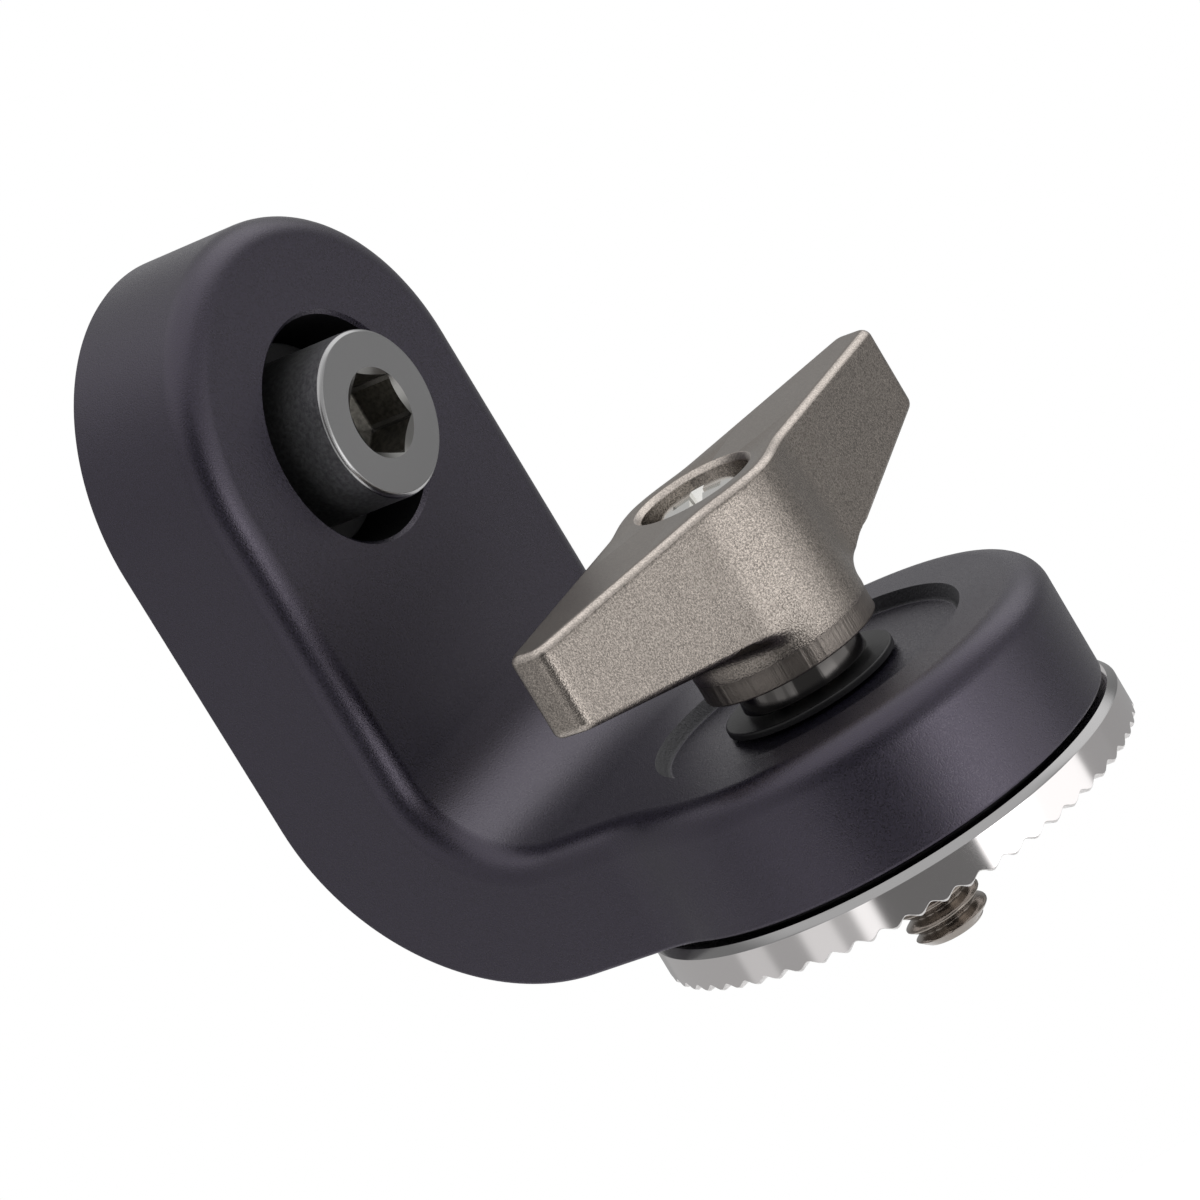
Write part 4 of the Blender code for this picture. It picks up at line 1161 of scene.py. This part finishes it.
@dataclass
class Clamp:
    """What turns with the lever: stud, steel collar and the cross-recess screw; and the bush they turn in.

    The tables of the screw's tip and the bush hold radius, height and corner radius. The cross holds the height from
    the head's top, half the length and half the width of each level of one bar.
    """

    thread: Thread = Thread(3.175, 0.72, 1.27, 4.2, -7.8, 0.8)
    stud_steps: int = 72
    stud_sharp: float = 40.0
    neck: float = 2.8
    neck_break: float = 0.3
    groove: float = 2.15
    groove_top: float = 6.0
    groove_low: float = 4.7
    neck_low: float = 4.4
    collar: float = 5.15
    collar_taper: float = 0.22
    collar_round: float = 0.15
    collar_bore: float = 3.1
    collar_bore_top: float = 0.6
    per_tooth: int = 12
    relief: float = 0.1
    spline_low: float = 2.2
    spline_top: float = 4.1
    spline_bore: float = 2.3
    screw_tip: Table = ((1.6, 16.7, 0.0), (2.0, 17.1, 0.0))
    screw_steps: int = 72
    shank: float = 2.0
    head: float = 3.8
    head_low: float = 27.6
    head_top: float = 30.1
    head_wall: float = 1.25
    crown_in: float = 0.7
    crown_down: float = 0.3
    crown_flat: float = 0.5
    head_rounds: tuple[float, float, float] = (0.1, 0.5, 0.6)
    cross: Table = ((-1.6, 0.9, 0.3), (-0.9, 1.5, 0.42), (0.4, 2.35, 0.62))
    cross_angle: float = 28.0
    bush_shape: Table = (
        (3.475, 6.0, 0.0),
        (4.675, 6.0, 0.0),
        (4.675, 13.3, 0.0),
        (6.9, 13.3, 0.05),
        (6.9, 13.85, 0.2),
        (3.475, 13.85, 0.0),
    )
    bush_steps: int = 128

    def stud(self, forge: Forge) -> None:
        """Make the threaded stud: a plain neck with a groove, then the thread.

        Args:
            forge: The mesh maker.
        """
        top, thin = SIZES.collar_top, self.neck - self.neck_break
        plain = [
            (thin, top + self.neck_break),
            (self.neck, top),
            (self.neck, self.groove_top),
            (self.groove, self.groove_top),
            (self.groove, self.groove_low),
            (thin, self.groove_low),
            (thin, self.neck_low),
        ]
        loops = np.concatenate([carried_round(plain, turns(self.stud_steps)), self.thread.loops(self.stud_steps)])
        stud = forge.grid("stud_surface", loops)
        forge.dress(stud, STUD_METAL, Body.STUD, ["clamp_stud"], self.stud_sharp)

    def insert(self, forge: Forge) -> None:
        """Make the collar with its serrated head, whose radius is a cosine wave round the axis.

        Args:
            forge: The mesh maker.
        """
        s = SIZES
        t = turns(s.spline_teeth * self.per_tooth)
        spline = s.spline_radius - s.spline_depth * (0.5 - 0.5 * np.cos(t * s.spline_teeth))
        relief = s.spline_radius - s.spline_depth - self.relief
        low, top = s.collar_top + self.spline_low, s.collar_top + self.spline_top
        roof = s.collar_top + self.collar_bore_top
        rows: list[Row] = list(
            rounded(
                [
                    (self.collar_bore, s.collar_bottom, 0.0),
                    (self.collar, s.collar_bottom, self.collar_round),
                    (self.collar - self.collar_taper, s.collar_top, self.collar_round),
                    (relief, s.collar_top, 0.0),
                    (relief, low, 0.0),
                ]
            )
        )
        rows += [(spline, low), (spline, top), (self.spline_bore, top)]
        rows += [(self.spline_bore, roof), (self.collar_bore, roof)]
        piece = forge.grid("collar_surface", carried_round(rows, t + math.radians(s.lever_angle)), closed=True)
        forge.dress(piece, COLLAR_METAL, Body.STUD, ["lever_insert"])

    def screw(self, forge: Forge) -> None:
        """Make the pan-head screw, and cut its cross recess with two tapered bars.

        Args:
            forge: The mesh maker.
        """
        top, low = self.head_top, self.head_low
        under, wall, crown = self.head_rounds
        profile = rounded(
            [
                *self.screw_tip,
                (self.shank, low, 0.0),
                (self.head, low, under),
                (self.head, low + self.head_wall, wall),
                (self.head - self.crown_in, top - self.crown_down, crown),
                (self.crown_flat, top, 0.0),
            ]
        )
        screw = forge.lathe("lever_screw_surface", profile, self.screw_steps)
        corners = np.array([(-1, -1, 0), (1, -1, 0), (1, 1, 0), (-1, 1, 0)])
        loops = np.array([corners * (long, thin, 0) + (0, 0, top + z) for z, long, thin in self.cross])
        cutters = [forge.grid(f"cut_cross_{i}", loops) for i in range(2)]
        for i, cutter in enumerate(cutters):
            cutter.data.transform(Matrix.Rotation(math.radians(self.cross_angle) + QUARTER * i, 4, "Z"))
        forge.cut(screw, cutters)
        forge.dress(screw, HEAD_METAL, Body.STUD, ["handle_screw"])

    def bush(self, forge: Forge) -> None:
        """Make the black flanged bush."""
        piece = forge.lathe("bush_surface", rounded(list(self.bush_shape)), self.bush_steps, closed=True)
        forge.dress(piece, BLACK_PLASTIC, Body.BRACKET, ["guide_bush"])

    def build(self, forge: Forge) -> None:
        """Make the four pieces.

        Args:
            forge: The mesh maker.
        """
        self.stud(forge)
        self.insert(forge)
        self.screw(forge)
        self.bush(forge)


@dataclass
class CapScrew:
    """The socket-head cap screw in the upper arm, and the washers round it; heights start at the arm's inner face.

    The socket's floor starts with the radius of its point, then holds shares of the hexagon, each with the height above
    the floor. The rim holds inset, depth and corner radius, and the washers radius, height and corner radius.
    """

    head: float = 6.5
    proud: float = 3.4
    seat: float = 4.6
    shank: float = 4.0
    shank_end: float = 10.1
    thread: Thread = Thread(4.0, 0.7, 1.25, -10.3, -20.6, 0.9)
    hexagon: float = 6.0
    socket_depth: float = 4.0
    socket_floor: Table = ((0.05, -0.9), (0.98, 0.0), (1.0, 0.1))
    sink: float = 3.5
    sink_slope: float = 0.5
    sink_gap: float = 0.03
    rim: Table = ((0.28, 0.0, 0.08), (0.05, 0.18, 0.1), (0.0, 0.36, 0.0))
    seat_round: float = 0.2
    rim_depth: float = 0.4
    socket_share: float = 0.95
    flat_tilt: float = 0.97
    wall_tilt: float = 0.4
    wall_margin: float = 0.2
    washer: Table = ((4.3, -5.9, 0.0), (8.0, -5.9, 0.1), (8.0, -4.9, 0.15), (4.3, -4.9, 0.0))
    retainer: Table = ((4.3, -11.4, 0.0), (7.0, -11.4, 0.2), (7.0, -10.7, 0.1), (4.3, -10.7, 0.0))
    steps: int = 144
    washer_steps: int = 96
    sharp: float = 26.0

    def surface(self, forge: Forge) -> bpy.types.Object:
        """Make the screw: a hexagon socket, a turned head and shank, and a thread, as one stack of loops.

        The socket's radius is half the hexagon's width over the cosine of the angle from the nearest flat's middle.

        Args:
            forge: The mesh maker.

        Returns:
            The linked object.
        """
        t = turns(self.steps)
        sixth = FULL / HEXAGON
        six = self.hexagon / 2.0 / np.cos(t % sixth - sixth / 2.0)
        floor = self.proud - self.socket_depth
        (point, point_z), *walls = self.socket_floor
        rows: list[Row] = [(point, floor + point_z)] + [(six * share, floor + z) for share, z in walls]
        rows.append((six, self.proud - (self.sink - six) * self.sink_slope - self.sink_gap))
        rows += rounded(
            [
                (self.sink, self.proud, 0.0),
                *((self.head - wide, self.proud - deep, size) for wide, deep, size in self.rim),
                (self.head, -self.seat, self.seat_round),
                (self.shank, -self.seat, 0.0),
                (self.shank, -self.shank_end, 0.0),
            ]
        )
        loops = np.concatenate([carried_round(rows, t), self.thread.loops(self.steps)])
        return forge.to_axis(forge.grid("cap_screw_surface", loops), Axis.CAP)

    def build(self, forge: Forge) -> None:
        """Make the screw, the washer and the retainer, and dress them.

        Args:
            forge: The mesh maker.
        """
        screw = forge.dress(self.surface(forge), CAP_METAL, Body.CAP, ["cap_screw"], self.sharp)
        middle, normal = forge.face_places(screw)
        out = middle - np.array(SIZES.cap_point) / MM
        deep, wide, tilt = out[:, 0], np.hypot(out[:, 1], out[:, 2]), normal[:, 0]
        rim = self.proud - self.rim_depth
        inside = (deep > -self.seat) & (deep < rim)
        forge.accent(screw, CAP_SOCKET, inside & (wide < self.sink * self.socket_share))
        forge.accent(screw, CAP_SINK, (deep >= rim) & (wide < self.sink) & (tilt < self.flat_tilt))
        forge.accent(screw, CAP_WALL, inside & (wide > self.head - self.wall_margin) & (np.abs(tilt) < self.wall_tilt))
        washer = forge.lathe("cap_washer_surface", rounded(list(self.washer)), self.washer_steps, True, Axis.CAP)
        forge.dress(washer, BLACK_OXIDE, Body.BRACKET, ["cap_washer"])
        retainer = forge.lathe("retainer_surface", rounded(list(self.retainer)), self.washer_steps, True, Axis.CAP)
        forge.dress(retainer, BLACK_PLASTIC, Body.BRACKET, ["screw_retainer"])


@dataclass
class HandleSpring:
    """The coil spring in the lever's bore, which the lever squeezes under the screw's head when it is lifted."""

    wire: float = 0.5
    turns: float = 3.5
    diameter: float = 6.6
    bottom: float = 21.8
    top: float = 27.3
    lift: float = 2.2
    dead_turns: float = 0.5
    per_turn: int = 40
    wire_steps: int = 12
    sharp: float = 50.0

    def surface(self, forge: Forge) -> bpy.types.Object:
        """Make the wire: a circle carried along a helix whose first and last half turns lie flat.

        Args:
            forge: The mesh maker.

        Returns:
            The linked object.
        """
        turn = np.linspace(0.0, self.turns, int(self.turns * self.per_turn) + 1)[:, None]
        around = turns(self.wire_steps)[None, :]
        climb = np.clip((turn - self.dead_turns) / (self.turns - 2.0 * self.dead_turns), 0.0, 1.0)
        rise = self.bottom + self.wire / 2.0 + (self.top - self.bottom - self.wire) * climb
        out = (self.diameter + self.wire * np.cos(around)) / 2.0
        spin = turn * FULL
        high = rise + self.wire / 2.0 * np.sin(around)
        loops = np.stack([out * np.cos(spin), out * np.sin(spin), high], axis=-1)
        return forge.grid("spring_surface", loops)

    def build(self, forge: Forge) -> None:
        """Make the spring, dress it, and give it a mesh of its own.

        Args:
            forge: The mesh maker.
        """
        spring = forge.dress(
            self.surface(forge), SMALL_METAL, Body.STUD, ["handle_spring"], self.sharp
        )
        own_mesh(spring)


@dataclass
class HiddenPieces:
    """Solids that stay as they are and only take a finish."""

    finishes: dict[str, Finish] = field(
        default_factory=lambda: {
            "rosette_spacer": BLACK_PLASTIC,
            "dowel_pin_1": SMALL_METAL,
            "dowel_pin_2": SMALL_METAL,
            "stud_clip": SMALL_METAL,
            "disc_spring": BLACK_OXIDE,
            "swivel_sleeve": BEARING_METAL,
        }
    )

    def build(self, forge: Forge, solids: dict[str, bpy.types.Object]) -> None:
        """Give each solid its finish.

        Args:
            forge: The store of materials.
            solids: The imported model's solids by name.
        """
        for name, finish in self.finishes.items():
            for slot in solids[name].material_slots:
                slot.material = forge.material(finish)
            LOG.info("%s: finish only", name)


@dataclass
class Studio:
    """Camera, light and floor.

    Bands hold the azimuth in degrees where a wall panel starts, and its light. Fades hold the height of a direction
    where a change starts and where it is full. Spots hold a direction, its light, and the cosines where it starts and
    is full.
    """

    right: Triple = (0.7443, 0.4394, -0.5029)
    up: Triple = (0.2808, 0.4773, 0.8327)
    toward: Triple = (0.6059, -0.7610, 0.2319)
    place_mm: Triple = (329.79, -429.97, 156.18)
    lens: float = 231.97
    sensor: float = 36.0
    clip_start: float = 0.01
    clip_end: float = 10.0
    floor_at: float = -0.1
    floor_radius: float = 0.2
    floor_steps: int = 96
    floor_tone: float = 0.9
    floor_roughness: float = 0.9
    floor_glow: float = 0.38
    tent_radius: float = 2000.0
    tent_rows: int = 25
    tent_steps: int = 48
    bands: Table = (
        (-180.0, 0.4),
        (-148.0, 0.6),
        (-132.0, 0.38),
        (-113.0, 0.75),
        (-97.0, 0.45),
        (-87.0, 1.1),
        (-77.0, 0.15),
        (-25.0, 2.5),
        (3.0, 1.2),
        (38.0, 0.36),
        (61.0, 0.34),
        (150.0, 0.4),
    )
    band_edge: float = 0.004
    panel_top: float = 0.6
    panel_fade: tuple[float, float] = (-0.2, 0.15)
    overhead: float = 1.0
    overhead_fade: tuple[float, float] = (0.62, 0.82)
    under: float = 0.3
    under_fade: tuple[float, float] = (0.5, 0.85)
    spots: tuple[tuple[Triple, float, float, float], ...] = (
        ((-0.558, 0.714, 0.423), 0.5, 0.84, 0.96),
        ((0.232, 0.761, 0.606), 1.4, 0.86, 0.97),
    )

    def camera(self) -> None:
        """Set the camera where the photograph was taken from."""
        data = bpy.data.cameras.new("camera")
        data.sensor_width = self.sensor
        data.lens = self.lens
        data.clip_start = self.clip_start
        data.clip_end = self.clip_end
        cam = bpy.data.objects.new("camera", data)
        turn = Matrix((self.right, self.up, self.toward)).transposed().to_4x4()
        cam.matrix_world = Matrix.Translation(Vector(self.place_mm) * MM) @ turn
        bpy.context.scene.collection.objects.link(cam)
        bpy.context.scene.camera = cam

    @staticmethod
    def world() -> None:
        """Make the world plain white, which is what the camera sees behind the object."""
        world = bpy.data.worlds.new("white")
        bpy.context.scene.world = world
        world.use_nodes = True
        back = world.node_tree.nodes["Background"]
        back.inputs["Color"].default_value = (1.0, 1.0, 1.0, 1.0)
        back.inputs["Strength"].default_value = 1.0

    def tent(self, forge: Forge) -> None:
        """Put a round light tent about the set: upright panels by direction, plain above and below.

        The tent is a sphere without its poles. The camera looks through it, and everything else sees it.

        Args:
            forge: The mesh maker.
        """
        tilt = np.linspace(-QUARTER, QUARTER, self.tent_rows)[1:-1]
        rows = list(zip(self.tent_radius * np.cos(tilt), self.tent_radius * np.sin(tilt)))
        tent = forge.grid("tent", carried_round(rows, turns(self.tent_steps)))
        mat = new_material("tent_panels")
        tree = mat.node_tree
        tree.nodes.remove(tree.nodes["Principled BSDF"])
        glow = add_node(tree, "Emission", {"Strength": self.panels(tree)})
        tree.links.new(glow.outputs["Emission"], tree.nodes["Material Output"].inputs["Surface"])
        tent.data.materials.append(mat)
        tent.visible_camera = False

    def panels(self, tree: Tree) -> Socket:
        """Add the nodes that give the tent's light by direction from the object.

        Args:
            tree: The tent material's nodes.

        Returns:
            The strength of the light.
        """
        place = add_node(tree, "TexCoord").outputs["Object"]
        way = add_node(tree, "VectorMath", {0: place}, operation="NORMALIZE").outputs["Vector"]
        part = add_node(tree, "SeparateXYZ", {"Vector": way}).outputs
        walls = self.walls(tree, math_node(tree, "ARCTAN2", part["Y"], part["X"]))
        dim = math_node(tree, "MINIMUM", walls, self.panel_top)
        gap = math_node(tree, "SUBTRACT", dim, walls)
        above = self.fade(tree, part["Z"], *self.panel_fade)
        light = math_node(tree, "MULTIPLY_ADD", gap, above, walls)
        light = self.blend(tree, light, self.overhead, self.fade(tree, part["Z"], *self.overhead_fade))
        down = math_node(tree, "MULTIPLY", part["Z"], -1.0)
        light = self.blend(tree, light, self.under, self.fade(tree, down, *self.under_fade))
        for toward, level, start, full in self.spots:
            lean = add_node(tree, "VectorMath", {0: way, 1: toward}, operation="DOT_PRODUCT").outputs["Value"]
            light = self.blend(tree, light, level, self.fade(tree, lean, start, full))
        return light

    def walls(self, tree: Tree, turn: Socket) -> Socket:
        """Add the upright panels as a colour ramp over the azimuth, scaled by the brightest.

        Args:
            tree: The tent material's nodes.
            turn: The azimuth in radians, from minus half a turn to half a turn.

        Returns:
            The light of the panels.
        """
        share = math_node(tree, "MULTIPLY_ADD", turn, 1.0 / FULL, 0.5)
        ramp = add_node(tree, "ValToRGB", {"Fac": share})
        stops = ramp.color_ramp.elements
        most = max(value for _, value in self.bands)
        ends = [start for start, _ in self.bands[1:]] + [180.0]
        for i, ((start, value), end) in enumerate(zip(self.bands, ends)):
            first = (start + 180.0) / 360.0 + self.band_edge
            last = (end + 180.0) / 360.0 - self.band_edge
            for k, where in enumerate((first, last)):
                stop = stops[k] if i == 0 else stops.new(where)
                stop.position = where
                stop.color = (value / most, value / most, value / most, 1.0)
        return math_node(tree, "MULTIPLY", ramp.outputs["Color"], most)

    @staticmethod
    def fade(tree: Tree, value: Socket, low: float, high: float) -> Socket:
        """Return a share that rises smoothly from 0 at low to 1 at high."""
        given = {"Value": value, "From Min": low, "From Max": high}
        return add_node(tree, "MapRange", given, interpolation_type="SMOOTHSTEP").outputs["Result"]

    @staticmethod
    def blend(tree: Tree, light: Socket, level: float, share: Socket) -> Socket:
        """Return a light faded to a level by a share."""
        gap = math_node(tree, "SUBTRACT", level, light)
        return math_node(tree, "MULTIPLY_ADD", gap, share, light)

    def floor(self) -> None:
        """Lay a pale round floor well below the object.

        It is a little brighter to the camera, to metal and to glass, and clear from below.
        """
        mesh = bpy.data.meshes.new("floor")
        rim = carried_round([(self.floor_radius, self.floor_at)], turns(self.floor_steps))[0]
        mesh.from_pydata(rim.tolist(), [], [tuple(range(self.floor_steps))])
        mat = new_material("floor_pale")
        tree = mat.node_tree
        shader = tree.nodes["Principled BSDF"]
        shader.inputs["Base Color"].default_value = (self.floor_tone, self.floor_tone, self.floor_tone, 1.0)
        shader.inputs["Roughness"].default_value = self.floor_roughness
        shader.inputs["Emission Color"].default_value = (1.0, 1.0, 1.0, 1.0)
        path = add_node(tree, "LightPath").outputs
        mirrored = math_node(tree, "MAXIMUM", path["Is Glossy Ray"], path["Is Transmission Ray"])
        seen = math_node(tree, "MAXIMUM", path["Is Camera Ray"], mirrored)
        tree.links.new(math_node(tree, "MULTIPLY", seen, self.floor_glow), shader.inputs["Emission Strength"])
        behind = add_node(tree, "NewGeometry").outputs["Backfacing"]
        clear = add_node(tree, "BsdfTransparent").outputs["BSDF"]
        sides = add_node(tree, "MixShader", {"Fac": behind, 1: shader.outputs["BSDF"], 2: clear})
        tree.links.new(sides.outputs["Shader"], tree.nodes["Material Output"].inputs["Surface"])
        mesh.materials.append(mat)
        floor = bpy.data.objects.new("floor", mesh)
        bpy.context.scene.collection.objects.link(floor)

    def build(self, forge: Forge) -> None:
        """Set camera, light, floor and the render's plain colours.

        Args:
            forge: The mesh maker.
        """
        self.camera()
        self.world()
        self.tent(forge)
        self.floor()
        bpy.context.scene.view_settings.view_transform = "Standard"


def main() -> None:
    """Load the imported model, dress every piece and set the studio."""
    logging.basicConfig(level=logging.INFO, format="%(name)s: %(message)s")
    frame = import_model()
    forge = Forge()
    for assembly in (Arm(), Rosette(), Lever(), Clamp(), HandleSpring(), CapScrew()):
        assembly.build(forge)
    HiddenPieces().build(forge, frame["nodes"])
    Studio().build(forge)


if __name__ == "__main__":
    main()
